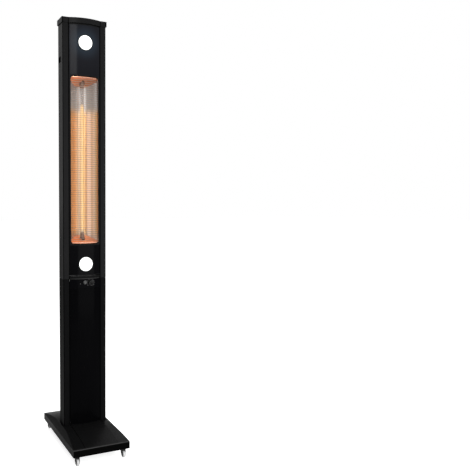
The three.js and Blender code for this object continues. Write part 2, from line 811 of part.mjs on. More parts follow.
addPart(tower, 'foot_bar', footBar(), 'satinBlack');
addPart(tower, 'top_crossbar', topCrossbar(), 'darkIron');
addPart(tower, 'top_cap', topCap(), 'satinBlack');
for (const [name, side] of Object.entries(sides)) {
  addPart(tower, `post_${name}`, framePost(side), 'satinBlack');
  addPart(tower, `pivot_cover_${name}`, pivotCover(side), 'blackPlastic');
  addPart(tower, `pivot_bush_${name}`, pivotBush(side), 'bronze');
}

addPart(tower, 'head_rear_shell', headRearShell(), 'satinBlack');
addPart(tower, 'head_front_upper', headFront(frameTop + touchGap, shellTop, ledUpperZ), 'glossBlack');
addPart(tower, 'head_front_lower', headFront(shellBottom, frameBottom - touchGap, ledLowerZ), 'glossBlack');
addPart(tower, 'head_end_cap_top', headEndCap(headTop - endCapThickness), 'satinBlack');
addPart(tower, 'head_end_cap_bottom', headEndCap(headBottom), 'satinBlack');
addPart(tower, 'window_frame', windowFrame(), 'satinBlack');
addPart(tower, 'guard_grille', guardGrille(), 'steel');
addPart(tower, 'reflector', reflector(), 'polished');
addPart(tower, 'reflector_end_top', reflectorEnd(1), 'polished');
addPart(tower, 'reflector_end_bottom', reflectorEnd(-1), 'polished');
addPart(tower, 'lamp_tube', lampTube(), 'amberGlass');
addPart(tower, 'lamp_filament', lampFilament(), 'filament');
addPart(tower, 'lamp_end_top', lampEnd(1), 'ceramic');
addPart(tower, 'lamp_end_bottom', lampEnd(-1), 'ceramic');
for (const [name, side] of Object.entries(sides)) {
  addPart(tower, `pivot_shaft_${name}`, pivotShaft(side), 'steel');
}
for (const [name, z] of Object.entries({ upper: ledUpperZ, lower: ledLowerZ })) {
  addPart(tower, `led_housing_${name}`, ledHousing(z), 'blackPlastic');
  addPart(tower, `led_lens_${name}`, ledLens(z), 'whiteLens');
}

export default heater;
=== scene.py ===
"""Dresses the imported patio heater: a foot on castors, a lower column with controls, a frame of
two posts and a long radiant head with two lights, on a pale studio floor. Sizes are in metres."""

import math

import bmesh
import bpy
from mathutils import Euler, Matrix, Vector


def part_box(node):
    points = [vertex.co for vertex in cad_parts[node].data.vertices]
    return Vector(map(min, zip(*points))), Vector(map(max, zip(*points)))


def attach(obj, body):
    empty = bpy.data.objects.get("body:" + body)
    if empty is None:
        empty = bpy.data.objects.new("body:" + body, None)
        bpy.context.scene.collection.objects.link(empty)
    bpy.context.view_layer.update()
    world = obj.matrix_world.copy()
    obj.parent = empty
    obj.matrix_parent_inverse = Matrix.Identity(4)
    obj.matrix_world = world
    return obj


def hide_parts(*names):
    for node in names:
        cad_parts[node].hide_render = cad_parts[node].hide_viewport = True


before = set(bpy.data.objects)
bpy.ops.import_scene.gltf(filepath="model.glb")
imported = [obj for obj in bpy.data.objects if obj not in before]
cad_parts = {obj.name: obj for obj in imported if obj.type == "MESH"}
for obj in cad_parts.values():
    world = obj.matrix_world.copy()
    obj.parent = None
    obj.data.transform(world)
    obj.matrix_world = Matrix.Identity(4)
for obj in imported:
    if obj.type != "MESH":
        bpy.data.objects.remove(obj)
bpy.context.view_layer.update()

bl_info = {
    "name": "Patio heater",
    "version": (1, 0, 0),
    "blender": (4, 5, 0),
    "location": "3D View > Sidebar > Heater",
    "description": "Models and finishes the patio heater round its CAD frame",
    "category": "Object",
}

SIDES = {"left": -1, "right": 1}
ENDS = {"top": 1, "bottom": -1}
PLACES = ("front_left", "front_right", "rear_left", "rear_right")

COLUMN_Y = 0.018  # the tower stands this far behind the middle of the foot
HALF_DEPTH = 0.033  # of column and posts
FACE_Y = COLUMN_Y - HALF_DEPTH  # the flat front of rails and posts
PANEL_REACH = 0.0697  # half the width of the column's bowed panel
BOW_REACH = 0.0685  # half the width of the head's bow
SHAFT_REACH = 0.098  # half the width of the column
TILT_Y, TILT_Z = COLUMN_Y + 0.008, 1.688  # axis of the head's pivots
LAMP_Y = COLUMN_Y + 0.002  # axis of the heating lamp
KNOB_X, KNOB_Z = 0.023, 0.7225
BUTTON_X, BUTTON_Z = -0.004, 0.726
GLAND_Z = 0.150
VENT_PITCH, VENT_HEIGHT = 0.009, 0.0035  # of the slots in the back


# ---------------------------------------------------------------- modelling by hand


def deselect():
    if bpy.context.mode != "OBJECT":
        bpy.ops.object.mode_set(mode="OBJECT")
    bpy.ops.object.select_all(action="DESELECT")


def pick(piece):
    deselect()
    piece.select_set(True)
    bpy.context.view_layer.objects.active = piece


def settle(piece):
    """The piece's place, turn and size go into its mesh, and its object goes to the origin."""
    pick(piece)
    bpy.ops.object.transform_apply(location=True, rotation=True, scale=True)
    return piece


def name_piece(name):
    piece = bpy.context.object
    piece.name = piece.data.name = name
    return settle(piece)


def block(name, low, high):
    deselect()
    low, high = Vector(low), Vector(high)
    bpy.ops.mesh.primitive_cube_add(size=1, location=(low + high) / 2)
    bpy.context.object.scale = high - low
    return name_piece(name)


def rod(name, radius, start, end, sides=48, end_radius=None):
    deselect()
    start, end = Vector(start), Vector(end)
    along = end - start
    bpy.ops.mesh.primitive_cone_add(
        vertices=sides, radius1=radius, radius2=radius if end_radius is None else end_radius,
        depth=along.length, location=(start + end) / 2,
        rotation=along.to_track_quat("Z", "Y").to_euler())
    return name_piece(name)


def rod_y(name, radius, x, z, start, end, sides=48, end_radius=None):
    return rod(name, radius, (x, start, z), (x, end, z), sides, end_radius)


def rod_z(name, radius, y, low, high, sides=48):
    return rod(name, radius, (0, y, low), (0, y, high), sides)


class Editing:
    """Edit mode on one piece. Faces, edges and points are picked by where they are."""

    def __init__(self, piece):
        self.piece = piece

    def __enter__(self):
        pick(self.piece)
        bpy.ops.object.mode_set(mode="EDIT")
        bpy.ops.mesh.select_all(action="DESELECT")
        return self

    def __exit__(self, *problem):
        bpy.ops.object.mode_set(mode="OBJECT")

    def _pick(self, mode, test):
        bpy.context.tool_settings.mesh_select_mode = [mode == m for m in ("verts", "edges", "faces")]
        bpy.ops.mesh.select_all(action="DESELECT")
        mesh = bmesh.from_edit_mesh(self.piece.data)
        for part in getattr(mesh, mode):
            if test(part):
                part.select_set(True)
        mesh.select_flush_mode()
        bmesh.update_edit_mesh(self.piece.data)

    def faces(self, test):
        self._pick("faces", lambda f: test(f.calc_center_median(), f.normal))

    def facing(self, axis, sign):
        """Picks the faces that look along an axis."""
        self.faces(lambda c, n: getattr(n, axis) * sign > 0.9)

    def edges(self, test):
        self._pick("edges", lambda e: test(e.verts[0].co, e.verts[1].co))

    def points(self, test):
        self._pick("verts", lambda v: test(v.co))

    def everything(self):
        bpy.ops.mesh.select_all(action="SELECT")

    def extrude(self, by):
        bpy.ops.mesh.extrude_region_move(TRANSFORM_OT_translate={"value": by})

    def inset(self, by):
        bpy.ops.mesh.inset(thickness=by, use_even_offset=True)

    def press(self, rim, by):
        """Leaves a rim round the picked faces and pushes what is inside it in or out."""
        self.inset(rim)
        self.extrude(by)

    def move(self, by):
        bpy.ops.transform.translate(value=by)

    def resize(self, by, about):
        bpy.ops.transform.resize(value=by, center_override=about)

    def round_edges(self, test, width, segments=3):
        self.edges(test)
        bpy.ops.mesh.bevel(offset=width, segments=segments, affect="EDGES", profile=0.5)

    def bisect(self, at, normal, cut=False):
        """Cuts across the piece, and may take away what lies beyond the cut and close it."""
        self.everything()
        bpy.ops.mesh.bisect(plane_co=at, plane_no=normal, clear_outer=cut, use_fill=cut, threshold=1e-6)

    def flip(self):
        self.everything()
        bpy.ops.mesh.flip_normals()

    def outward(self):
        self.everything()
        bpy.ops.mesh.remove_doubles(threshold=1e-6)
        bpy.ops.mesh.normals_make_consistent(inside=False)


def rounded_block(name, low, high, axis, radius, segments):
    """Block whose edges along one axis are rounded."""
    piece = block(name, low, high)
    with Editing(piece) as edit:
        edit.round_edges(lambda a, b: abs(getattr(a, axis) - getattr(b, axis)) > 1e-4, radius, segments)
    return piece


def press_face(piece, axis, sign, *steps):
    """Presses a rim and what is inside it into the faces that look along an axis, step by step."""
    with Editing(piece) as edit:
        edit.facing(axis, sign)
        for rim, by in steps:
            edit.press(rim, by)
    return piece


def dome_front(piece, *steps):
    """Raises the front face ring inside ring."""
    with Editing(piece) as edit:
        edit.facing("y", -1)
        for rim, rise in steps:
            edit.inset(rim)
            edit.move((0, -rise, 0))
    return piece


def modify(piece, kind, **settings):
    pick(piece)
    modifier = piece.modifiers.new(kind.lower(), kind)
    for key, value in settings.items():
        setattr(modifier, key, value)
    bpy.ops.object.modifier_apply(modifier=modifier.name)
    return piece


def combine(piece, *tools, how="DIFFERENCE"):
    for tool in tools:
        modify(piece, "BOOLEAN", operation=how, solver="EXACT", object=tool)
        bpy.data.objects.remove(tool)
    return piece


def soften(piece, width, segments=3, angle=32):
    """Rounds the piece's sharp edges and shades it smooth."""
    modify(piece, "BEVEL", width=width, segments=segments, limit_method="ANGLE",
           angle_limit=math.radians(angle), use_clamp_overlap=True, miter_outer="MITER_ARC")
    return smooth(piece)


def smooth(piece, angle=32):
    pick(piece)
    bpy.ops.object.shade_smooth_by_angle(angle=math.radians(angle))
    return modify(piece, "WEIGHTED_NORMAL", keep_sharp=True)


def wall(piece, thickness):
    """Gives a sheet its thickness, behind the side that its faces look to."""
    return modify(piece, "SOLIDIFY", thickness=thickness, offset=-1, use_even_offset=True,
                  use_quality_normals=True)


def swept_sheet(name, points, low, high):
    """Upright strip of sheet that follows points seen from above, drawn edge by edge."""
    deselect()
    first, second = points[0], points[1]
    middle = ((first[0] + second[0]) / 2, (first[1] + second[1]) / 2, (low + high) / 2)
    run = Vector((second[0] - first[0], second[1] - first[1], 0))
    along, up = run.normalized(), Vector((0, 0, 1))
    turn = Matrix((along, up, along.cross(up))).transposed()
    bpy.ops.mesh.primitive_plane_add(size=1, location=middle, rotation=turn.to_euler())
    bpy.context.object.scale = (run.length, high - low, 1)
    piece = name_piece(name)
    with Editing(piece) as edit:
        edit.edges(lambda a, b: all(math.hypot(p.x - second[0], p.y - second[1]) < 1e-6 for p in (a, b)))
        for start, end in zip(points[1:], points[2:]):
            edit.extrude((end[0] - start[0], end[1] - start[1], 0))
    return piece


def turn_sheet(piece, way):
    """Makes a sheet's faces look the way that its middle face should, -1 front or 1 back."""
    with Editing(piece) as edit:
        edit.faces(lambda c, n: abs(c.x) < 0.003)
        if next(f.normal.y for f in bmesh.from_edit_mesh(piece.data).faces if f.select) * way < 0:
            edit.flip()
    return piece


def array(piece, count, step):
    return modify(piece, "ARRAY", count=count, use_relative_offset=False, use_constant_offset=True,
                  constant_offset_displace=step)


def join(name, pieces):
    deselect()
    for piece in pieces:
        piece.select_set(True)
    bpy.context.view_layer.objects.active = pieces[0]
    bpy.ops.object.join()
    return name_piece(name)


def dress(piece, finish, body, slot, *nodes):
    """Gives a finished piece its material and its body, and hides the CAD nodes that it stands for."""
    settle(piece)
    piece.data.materials.clear()
    piece.data.materials.append(bpy.data.materials[finish])
    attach(piece, body)
    if nodes:
        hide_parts(*nodes)
    return piece


# ---------------------------------------------------------------- materials by arithmetic


def worked(operation, turned=False):
    """A method that adds a Math node for one operator, or for its reflected form."""

    def method(self, other):
        return self.math(operation, *((other, self) if turned else (self, other)))

    return method


class Reading:
    """A number or colour in a material. Arithmetic on it adds Math nodes."""

    def __init__(self, finish, socket):
        self.finish = finish
        self.socket = socket

    def math(self, operation, *inputs):
        return self.finish.node("ShaderNodeMath", {"operation": operation}, dict(enumerate(inputs)))

    __add__ = __radd__ = worked("ADD")
    __mul__ = __rmul__ = worked("MULTIPLY")
    __sub__, __rsub__ = worked("SUBTRACT"), worked("SUBTRACT", True)
    __truediv__, __rtruediv__ = worked("DIVIDE"), worked("DIVIDE", True)
    __pow__, __lt__, __gt__ = worked("POWER"), worked("LESS_THAN"), worked("GREATER_THAN")

    def __abs__(self):
        return self.math("ABSOLUTE", self)


class Tree:
    """A node tree that is filled by arithmetic."""

    def __init__(self, tree, shader):
        self.tree = tree
        self.shader = tree.nodes[shader]

    def node(self, kind, settings=None, sockets=None, output=0):
        node = self.tree.nodes.new(kind)
        for key, value in (settings or {}).items():
            setattr(node, key, value)
        for key, value in (sockets or {}).items():
            if isinstance(value, Reading):
                self.tree.links.new(value.socket, node.inputs[key])
            else:
                node.inputs[key].default_value = value
        return Reading(self, node.outputs[output])

    def feed(self, socket, reading):
        self.tree.links.new(reading.socket, self.shader.inputs[socket])

    def place(self, centre=(0, 0, 0), stretch=(1, 1, 1)):
        """Object coordinates measured from a centre, in metres."""
        raw = self.node("ShaderNodeTexCoord", output="Object")
        return self.node("ShaderNodeMapping", {"vector_type": "TEXTURE"},
                         {"Vector": raw, "Location": centre, "Scale": tuple(1 / s for s in stretch)})

    def axes(self, centre=(0, 0, 0)):
        """The three object coordinates, measured from a centre."""
        split = self.node("ShaderNodeSeparateXYZ", sockets={"Vector": self.place(centre)})
        return [Reading(self, output) for output in split.socket.node.outputs]

    def noise(self, scale, detail=2.0, roughness=0.5, stretch=(1, 1, 1)):
        return self.node("ShaderNodeTexNoise", {"noise_dimensions": "3D"},
                         {"Vector": self.place(stretch=stretch), "Scale": scale, "Detail": detail,
                          "Roughness": roughness})

    def cells(self, feature, scale):
        return self.node("ShaderNodeTexVoronoi", {"feature": feature},
                         {"Vector": self.place(), "Scale": scale})

    def spread(self, reading, low, high, start=0.0, end=1.0):
        return self.node(
            "ShaderNodeMapRange", {"interpolation_type": "SMOOTHSTEP"},
            {"Value": reading, "From Min": start, "From Max": end, "To Min": low, "To Max": high})

    def hump(self, reading, centre, width):
        """A soft hump of height 1 round a place."""
        off = (reading - centre) / width
        return 1 / (off * off * off * off + 1)

    def blend(self, share, first, second):
        return self.node("ShaderNodeMix", {"data_type": "RGBA"}, {"Factor": share, 6: first, 7: second},
                         output=2)

    def seen(self, mirrored=1.0):
        """1 where the camera looks, also through glass, and a share where metal mirrors it."""
        rays = self.node("ShaderNodeLightPath").socket.node.outputs
        camera, gloss, glass = (
            Reading(self, rays["Is %s Ray" % kind]) for kind in ("Camera", "Glossy", "Transmission"))
        total = camera + glass + gloss * mirrored
        return total.math("MINIMUM", total, 1.0)


class Finish(Tree):
    """One material, built round a Principled shader."""

    def __init__(self, name, **constants):
        self.material = bpy.data.materials.new(name)
        self.material.use_nodes = True
        super().__init__(self.material.node_tree, "Principled BSDF")
        for key, value in constants.items():
            self.shader.inputs[key.replace("_", " ")].default_value = value

    def shade(self, pattern, first, second, dullness=None, height=None):
        """Mixes two colours by a pattern, which may also vary the dullness and raise the surface."""
        self.feed("Base Color", self.blend(pattern, first, second))
        if dullness:
            self.feed("Roughness", self.spread(pattern, *dullness))
        if height:
            self.bump(pattern, height)

    def over(self, share, colour):
        """Paints a colour over the surface's own."""
        own = Reading(self, self.shader.inputs["Base Color"].links[0].from_socket)
        self.feed("Base Color", self.blend(share, own, colour))

    def glow(self, share, first, second, strength):
        self.feed("Emission Color", self.blend(share, first, second))
        self.shader.inputs["Emission Strength"].default_value = strength

    def bump(self, height, distance):
        self.feed("Normal", self.node("ShaderNodeBump", sockets={
            "Height": height, "Distance": distance, "Strength": 1.0}))


BLACK = (0, 0, 0, 1)


def grey(level, warm=0.0):
    return (level * (1 + warm), level, level * (1 - warm), 1.0)


def opaque(colour, by=1.0):
    return (*(c * by for c in colour), 1.0)


def coated_metal(name, colour, roughness, gloss, grain, painted_flank_sheen=0.0):
    """Powder coat: a fine orange-peel surface with dust-pale specks and uneven sheen. The flank sheen is a
    painted highlight that lightens the front half of each outer side, and beside it painted shade darkens
    thin lines along the inner edges of rails and posts and down the front corners."""
    finish = Finish(name, Metallic=0.0, Specular_IOR_Level=gloss)
    x, y, _ = finish.axes()
    drift = finish.noise(9, 3.0, 0.55)
    dust = finish.spread(finish.noise(2600, 1.0), 0.0, 1.0, 0.62, 0.8)
    finish.shade(drift, opaque(colour, 0.8), opaque(colour, 1.2))
    # Dust specks, to which the painted flank highlight is added below.
    pale = dust * 0.04
    # Painted highlight: the flank sheen lightens the front half of each outer side.
    if painted_flank_sheen:
        pale = pale + (abs(x) > 0.0972) * (y < COLUMN_Y - 0.002) * painted_flank_sheen
    finish.over(pale, grey(0.12))
    # Painted shade: dark lines along the inner edges of rails and posts and down the front corners.
    if painted_flank_sheen:
        painted_seam_shade = (abs(x) < 0.0735) * (abs(x) > 0.0695) + (abs(x) > 0.0952) * (y < COLUMN_Y - 0.0300)
        finish.over(painted_seam_shade * 0.9, grey(0.0005))
    finish.feed("Roughness", finish.spread(drift, roughness * 0.88, roughness * 1.12) + dust * 0.08)
    finish.bump(finish.noise(900, 3.0, 0.6), grain)
    return finish


def make_coats(looks):
    body = tuple(looks.coat_colour)
    dark = tuple(c * 0.5 for c in body)
    rough = looks.coat_roughness
    coated_metal("satin coat", body, rough, 0.018, 0.00008, painted_flank_sheen=0.04)
    coated_metal("rail coat", dark, rough, 0.004, 0.00008, painted_flank_sheen=0.04)
    bar = coated_metal("bar coat", dark, rough * 0.8, 0.012, 0.00008)
    # Painted highlight: a pale band along the upper part of the foot bar.
    bar.over((bar.axes()[2] > 0.7495) * 0.02, grey(0.2))
    foot = coated_metal("foot coat", dark, rough * 0.8, 0.012, 0.00008)
    x, y, z = foot.axes()
    # Painted shade: a dark line along each crease of the top, and the rim's sides below its top edge
    # darkened.
    crease = foot.hump(abs(x), 0.072, 0.0012) * (z > 0.0715)
    foot.over(crease + (z < 0.0700) * 0.85, grey(0.0005))
    # Painted highlight along the top edge of the front rim.
    foot.over(foot.hump(z, 0.0705, 0.0011) * (y < -0.2), grey(0.042))

    panel = coated_metal("panel lacquer", tuple(looks.panel_colour), 0.13, 0.02, 0.00002)
    x, _, z = panel.axes()
    # Painted light: the panel glows faintly over its upper part, most near the upper round light, and a
    # bluish halo is painted round that light.
    reach = (x * x + (z - looks.lamp_high) ** 2) ** 0.5
    wide = panel.spread(reach, 1.0, 0.6, 0.05, 0.16) * panel.spread(z, 0.0, 1.0, 1.56, 1.62)
    near = panel.spread(reach, 1.0, 0.0, 0.015, 0.085)
    panel.glow(near, panel.blend(wide, BLACK, (0.011, 0.0115, 0.0145, 1)), (0.024, 0.034, 0.046, 1), 1.0)
    coated_metal("column lacquer", tuple(c * 0.6 for c in looks.panel_colour), 0.13, 0.009, 0.00002)

    fascia = coated_metal("fascia gloss", (0.001, 0.001, 0.0014), 0.13, 0.009, 0.00002)
    x, _, z = fascia.axes((KNOB_X, 0, KNOB_Z))
    reach = (x * x + z * z) ** 0.5
    turn = x.math("ARCTAN2", x, z)
    swept = abs(turn) < 2.4
    line = (reach > 0.0168) * (reach < 0.0176) * swept * 0.35
    ticks = (reach > 0.0164) * (reach < 0.0186) * (abs(turn.math("SINE", turn * 6.0)) < 0.25) * swept
    fascia.feed("Base Color", fascia.blend(ticks + line, (0.002, 0.002, 0.0025, 1), grey(0.14)))


# Name, grain (scale, detail, roughness, stretch), two colours, dullness, height and constants.
PLAIN_FINISHES = (
    ("cast iron", (420, 5.0, 0.7), grey(0.035), grey(0.075, 0.05), (0.55, 0.8), 0.0005,
     {"Metallic": 0.35, "Specular_IOR_Level": 0.4}),
    ("brushed steel", (90, 2.0, 0.5, (1, 1, 60)), grey(0.42), grey(0.62, 0.01), (0.25, 0.42), 0.00004,
     {"Metallic": 1.0}),
    ("button steel", (160, 2.0, 0.5, (30, 1, 1)), grey(0.028), grey(0.05), (0.3, 0.45), None,
     {"Metallic": 1.0}),
    ("grey tyre", (260, 4.0, 0.6), grey(0.50), grey(0.70), (0.35, 0.55), 0.0001,
     {"Specular_IOR_Level": 0.5}),
    ("lamp ceramic", (500, 4.0), (0.13, 0.075, 0.05, 1), (0.20, 0.12, 0.085, 1), (0.5, 0.7), 0.0002,
     {"Specular_IOR_Level": 0.4}),
    ("sintered bronze", (900, 4.0, 0.7), (0.35, 0.2, 0.08, 1), (0.55, 0.36, 0.17, 1), (0.35, 0.6), 0.0002,
     {"Metallic": 0.9}),
    ("pale mark", (600,), grey(0.018), grey(0.028), None, None, {"Roughness": 0.5}),
    ("matt black", (300,), grey(0.002), grey(0.005), None, None,
     {"Specular_IOR_Level": 0.0, "Roughness": 0.8}),
)


def make_plain_finishes():
    """Finishes of one kind all over."""
    plastic = Finish("moulded black", Specular_IOR_Level=0.2)
    plastic.shade(plastic.noise(30), grey(0.005), grey(0.010))
    plastic.feed("Roughness", plastic.spread(plastic.noise(60), 0.42, 0.6))
    plastic.bump(plastic.cells("SMOOTH_F1", 1400.0), 0.00008)

    wire = Finish("bright wire", Metallic=1.0)
    drawn = wire.noise(700, stretch=(0.05, 1, 1))
    wire.shade(drawn, (0.26, 0.19, 0.15, 1), (0.36, 0.27, 0.22, 1))
    wire.feed("Roughness", wire.spread(wire.noise(200), 0.42, 0.6))

    gloss = Finish("glossy black", Specular_IOR_Level=0.04)
    gloss.shade(gloss.noise(80), grey(0.004), grey(0.008))
    gloss.feed("Roughness", gloss.spread(gloss.noise(120, 3.0), 0.16, 0.26))

    for name, grain, first, second, dullness, height, constants in PLAIN_FINISHES:
        finish = Finish(name, **constants)
        finish.shade(finish.noise(*grain), first, second, dullness, height)

    board = Finish("circuit board", Roughness=0.45)
    board.feed("Base Color", board.node("ShaderNodeTexBrick", sockets={
        "Vector": board.place(), "Scale": 90.0, "Color1": (0.01, 0.09, 0.03, 1),
        "Color2": (0.02, 0.14, 0.05, 1), "Mortar": (0.25, 0.2, 0.08, 1), "Mortar Size": 0.02}))


def make_lamp_finishes(looks):
    """What shines, and the reflector that takes its light: its amber tint, dark valleys and bright lines, and
    the glare on its ends, are painted light, shade and reflections of the lamp. The lamp is unlit near its
    ends.
    """
    strength = looks.glow_strength
    mirror = Finish("polished reflector", Metallic=1.0)
    x, _, z = mirror.axes()
    rolled = mirror.noise(160, 3.0, 0.6, stretch=(1, 1, 0.02))
    # Painted light: where the lamp shines, the reflector's colour turns from grey to amber.
    lit = mirror.spread(z, 0.3, 1.0, 0.905, 0.950) * mirror.spread(z, 1.0, 0.0, 1.455, 1.495)
    clear = mirror.blend(rolled, (0.37, 0.35, 0.335, 1), (0.50, 0.48, 0.46, 1))
    lamp_lit_amber = mirror.blend(rolled, (0.56, 0.325, 0.14, 1), (0.68, 0.42, 0.20, 1))
    mirror.shade(lit, clear, lamp_lit_amber)
    # Painted shade along the valleys beside the ridge.
    mirror.over(mirror.hump(abs(x), 0.0120, 0.0042) * 0.5, (0.10, 0.05, 0.025, 1))
    mirror.feed("Roughness", mirror.spread(rolled, 0.50, 0.58) - lit * 0.14)
    mirror.bump(rolled, 0.00003)
    # Painted reflections: glowing lines along the trough that stand in for the lamp's mirror images, where it
    # is lit.
    streak = 0.0
    for centre, width, height in ((0.035, 0.0065, 1.3), (-0.0075, 0.004, 0.6), (-0.020, 0.004, 0.3),
                                  (0.051, 0.0045, 0.55)):
        streak = mirror.hump(x, centre, width) * height + streak
    mirror.glow(streak * lit, BLACK, opaque(looks.painted_reflection_glow), strength * 0.46)

    tinted = Finish("reflector end", Metallic=1.0)
    tinted.shade(tinted.noise(120, 3.0, 0.6), (0.74, 0.33, 0.20, 1), (0.86, 0.42, 0.27, 1),
                 (0.30, 0.44), 0.00012)
    # Painted glare: the end glows orange, most towards its left side.
    painted_glare = tinted.spread(tinted.axes()[0], 1.0, 0.25, -0.048, 0.0)
    tinted.glow(painted_glare, BLACK, (0.34, 0.075, 0.015, 1), strength * 0.5)

    tube = Finish("amber glass", Specular_IOR_Level=0.5, Roughness=0.06)
    x, _, z = tube.axes()
    lit = tube.spread(z, 0.0, 1.0, 0.935, 0.965) * tube.spread(z, 1.0, 0.0, 1.485, 1.515)
    side = tube.spread(x, 0.0, 1.0, -0.003, 0.005)
    shine = tube.blend(side, opaque(looks.coil_glow), opaque(looks.glass_glow))
    tube.shade(lit, (0.50, 0.48, 0.46, 1), (0.6, 0.35, 0.12, 1))
    tube.glow(lit, BLACK, shine, strength * 0.4)
    tube.feed("Alpha", lit * 0.45 + 0.3)

    coil = Finish("glowing coil", Roughness=0.6)
    z = coil.axes()[2]
    lit = coil.spread(z, 0.0, 1.0, 0.942, 0.958) * coil.spread(z, 1.0, 0.0, 1.488, 1.512)
    coil.shade(lit, grey(0.04), (1.0, 0.7, 0.35, 1))
    coil.glow(lit, BLACK, opaque(looks.coil_glow), strength)

    lens = Finish("lit opal lens", Roughness=0.25)
    prism = lens.cells("F1", 160.0)
    lens.shade(prism, (0.9, 0.95, 1.0, 1), (1.0, 1.0, 0.96, 1), height=0.0004)
    lens.glow(prism, (0.95, 1.0, 1.0, 1), (1.0, 1.0, 0.93, 1), looks.lens_strength)


# ---------------------------------------------------------------- shapes that pieces share


def bow(reach, face=FACE_Y):
    """Radius of the front bow and how deep its centre lies."""
    depth = bpy.context.scene.heater_sizes.bow
    radius = (reach * reach + depth * depth) / (2 * depth)
    return radius, face - depth + radius


def bow_tool(reach, low, high, grow=0.0, face=FACE_Y):
    """Upright drum whose front is the bow, for cutting and filling to it."""
    radius, centre = bow(reach, face)
    return rod_z("drum", radius + grow, centre, low, high, 360)


def bowed_sheet(name, node, steps=40):
    """Bowed front sheet in the place of a CAD node."""
    low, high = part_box(node)
    radius, centre = bow(high.x)
    half = math.asin(high.x / radius)
    angles = [half * (2 * step / steps - 1) for step in range(steps + 1)]
    line = [(radius * math.sin(a), centre - radius * math.cos(a)) for a in angles]
    sheet = turn_sheet(swept_sheet(name, line, low.z, high.z), -1)
    return wall(sheet, bpy.context.scene.heater_sizes.panel)


def bowed_plate(name, reach, back, low, high, proud=0.0):
    """Plate with square sides and back and a bowed front edge."""
    depth = bpy.context.scene.heater_sizes.bow
    piece = block(name, (-reach, FACE_Y - depth - 0.004, low), (reach, back, high))
    return combine(piece, bow_tool(reach, low - 0.01, high + 0.01, proud), how="INTERSECT")


def screw_rows(name, body, reach, back, heights, radius=0.0034, height=0.0016):
    """Two rows of pan-head screws with a cross recess, standing on a back wall."""
    diagonal = radius * math.sqrt(0.5)
    long, short = diagonal * 0.61, diagonal * 0.39
    floor, tip = back + height - 0.0009, back + height + 0.0005
    heads = []
    for x in (-reach, reach):
        for z in heights:
            head = rod_y("screw", radius, x, z, back, back + height, 24, radius * 0.72)
            for wide, tall in ((long, short), (short, long)):
                combine(head, block("recess", (x - wide, floor, z - tall), (x + wide, tip, z + tall)))
            heads.append(smooth(head, 40))
    dress(join(name, heads), "brushed steel", body, "steel")


def cut_vents(wall_piece, name, body, half, start, count, back, inside):
    """Cuts a stack of slots through a back wall and sets a dark sheet inside, behind them, as painted shade
    seen through the slots.
    """
    low, high = (-half, back - 0.01, start), (half, back + 0.01, start + VENT_HEIGHT)
    slots = rounded_block("slot", low, high, "y", 0.00174, 5)
    combine(wall_piece, array(slots, count, (0, 0, VENT_PITCH)))
    top = start + count * VENT_PITCH
    # Painted shade: a dark matt sheet that stands in for the shade inside the slots.
    shade_sheet = block(name, (-0.050, inside, start - 0.006), (0.050, inside + 0.0008, top))
    dress(soften(shade_sheet, 0.0002, 2), "matt black", body, "satin_black")


def rounded_post(name, low, high, radius, hollow=0.010):
    """Upright box section with rounded corners and open ends."""
    piece = rounded_block(name, low, high, "z", radius, 6)
    for side in (-1, 1):
        press_face(piece, "z", side, (0.002, (0, 0, -side * hollow)))
    return piece


# ---------------------------------------------------------------- what a user can change


def colour(name, description, default):
    return bpy.props.FloatVectorProperty(
        name=name, description=description, default=default, subtype="COLOR", size=3, min=0, max=1)


def level(name, description, default, low=0, high=1):
    return bpy.props.FloatProperty(name=name, description=description, default=default, min=low, max=high)


def measure(name, description, default, unit="LENGTH"):
    return bpy.props.FloatProperty(name=name, description=description, default=default, unit=unit)


class HeaterLooks(bpy.types.PropertyGroup):
    coat_colour: colour("Coat colour", "Powder coat of frame, column and foot", (0.0095, 0.0095, 0.0098))
    coat_roughness: level("Coat roughness", "How dull the powder coat is", 0.32, 0.2, 0.9)
    panel_colour: colour("Panel colour", "Lacquer of the bowed front panels", (0.0025, 0.0025, 0.003))
    glass_glow: colour("Tube glow", "Light of the amber tube", (0.66, 0.42, 0.10))
    coil_glow: colour("Coil glow", "Light of the heating coil", (1.0, 0.84, 0.52))
    # Colour of the painted reflections of the lamp along the reflector.
    painted_reflection_glow: colour("Streak glow", "Bright lines along the reflector", (0.86, 0.78, 0.70))
    # This also sets how brightly the reflector's painted reflections and the ends' painted glare shine.
    glow_strength: level("Glow strength", "How brightly the heating lamp shines", 1.05, 0, 20)
    lens_strength: level("Light strength", "How brightly the two round lights shine", 1.3, 0, 20)
    # The panel's painted halo is centred at this height.
    lamp_high: measure("Upper light height", "Height of the upper round light's centre", 1.758)


class HeaterSizes(bpy.types.PropertyGroup):
    sheet: measure("Sheet", "Thickness of the folded steel sheet", 0.002)
    panel: measure("Panel sheet", "Thickness of the bowed front panels", 0.0025)
    bow: measure("Bow", "How far the front panels stand out at the centre line", 0.014)
    corner: measure("Corner", "Outer corner radius of rails and posts", 0.003)
    window_corner: measure("Window corner", "Corner radius of the opening in front of the lamp", 0.016)
    wire: measure("Guard wire", "Radius of the guard's wires", 0.0010)
    coil_turns: bpy.props.IntProperty(
        name="Coil turns", description="Turns of the heating coil", default=96, min=10, max=200)


class HeaterStage(bpy.types.PropertyGroup):
    key_power: measure("Key light", "Power of the soft light above the camera", 38.0, "POWER")
    top_power: measure("Top light", "Power of the soft light overhead", 34.0, "POWER")
    front_power: measure("Front light", "Power of the large soft light at the right", 45.0, "POWER")
    back_power: measure("Back light", "Power of the soft light behind the heater", 45.0, "POWER")
    sky_level: level("Sky level", "Light from the studio's pale walls", 0.25)
    floor_level: level("Floor level", "Paleness of the floor", 0.82)
    floor_lift: level("Floor lift", "How much the floor brightens to the camera", 0.80)


# ---------------------------------------------------------------- operators


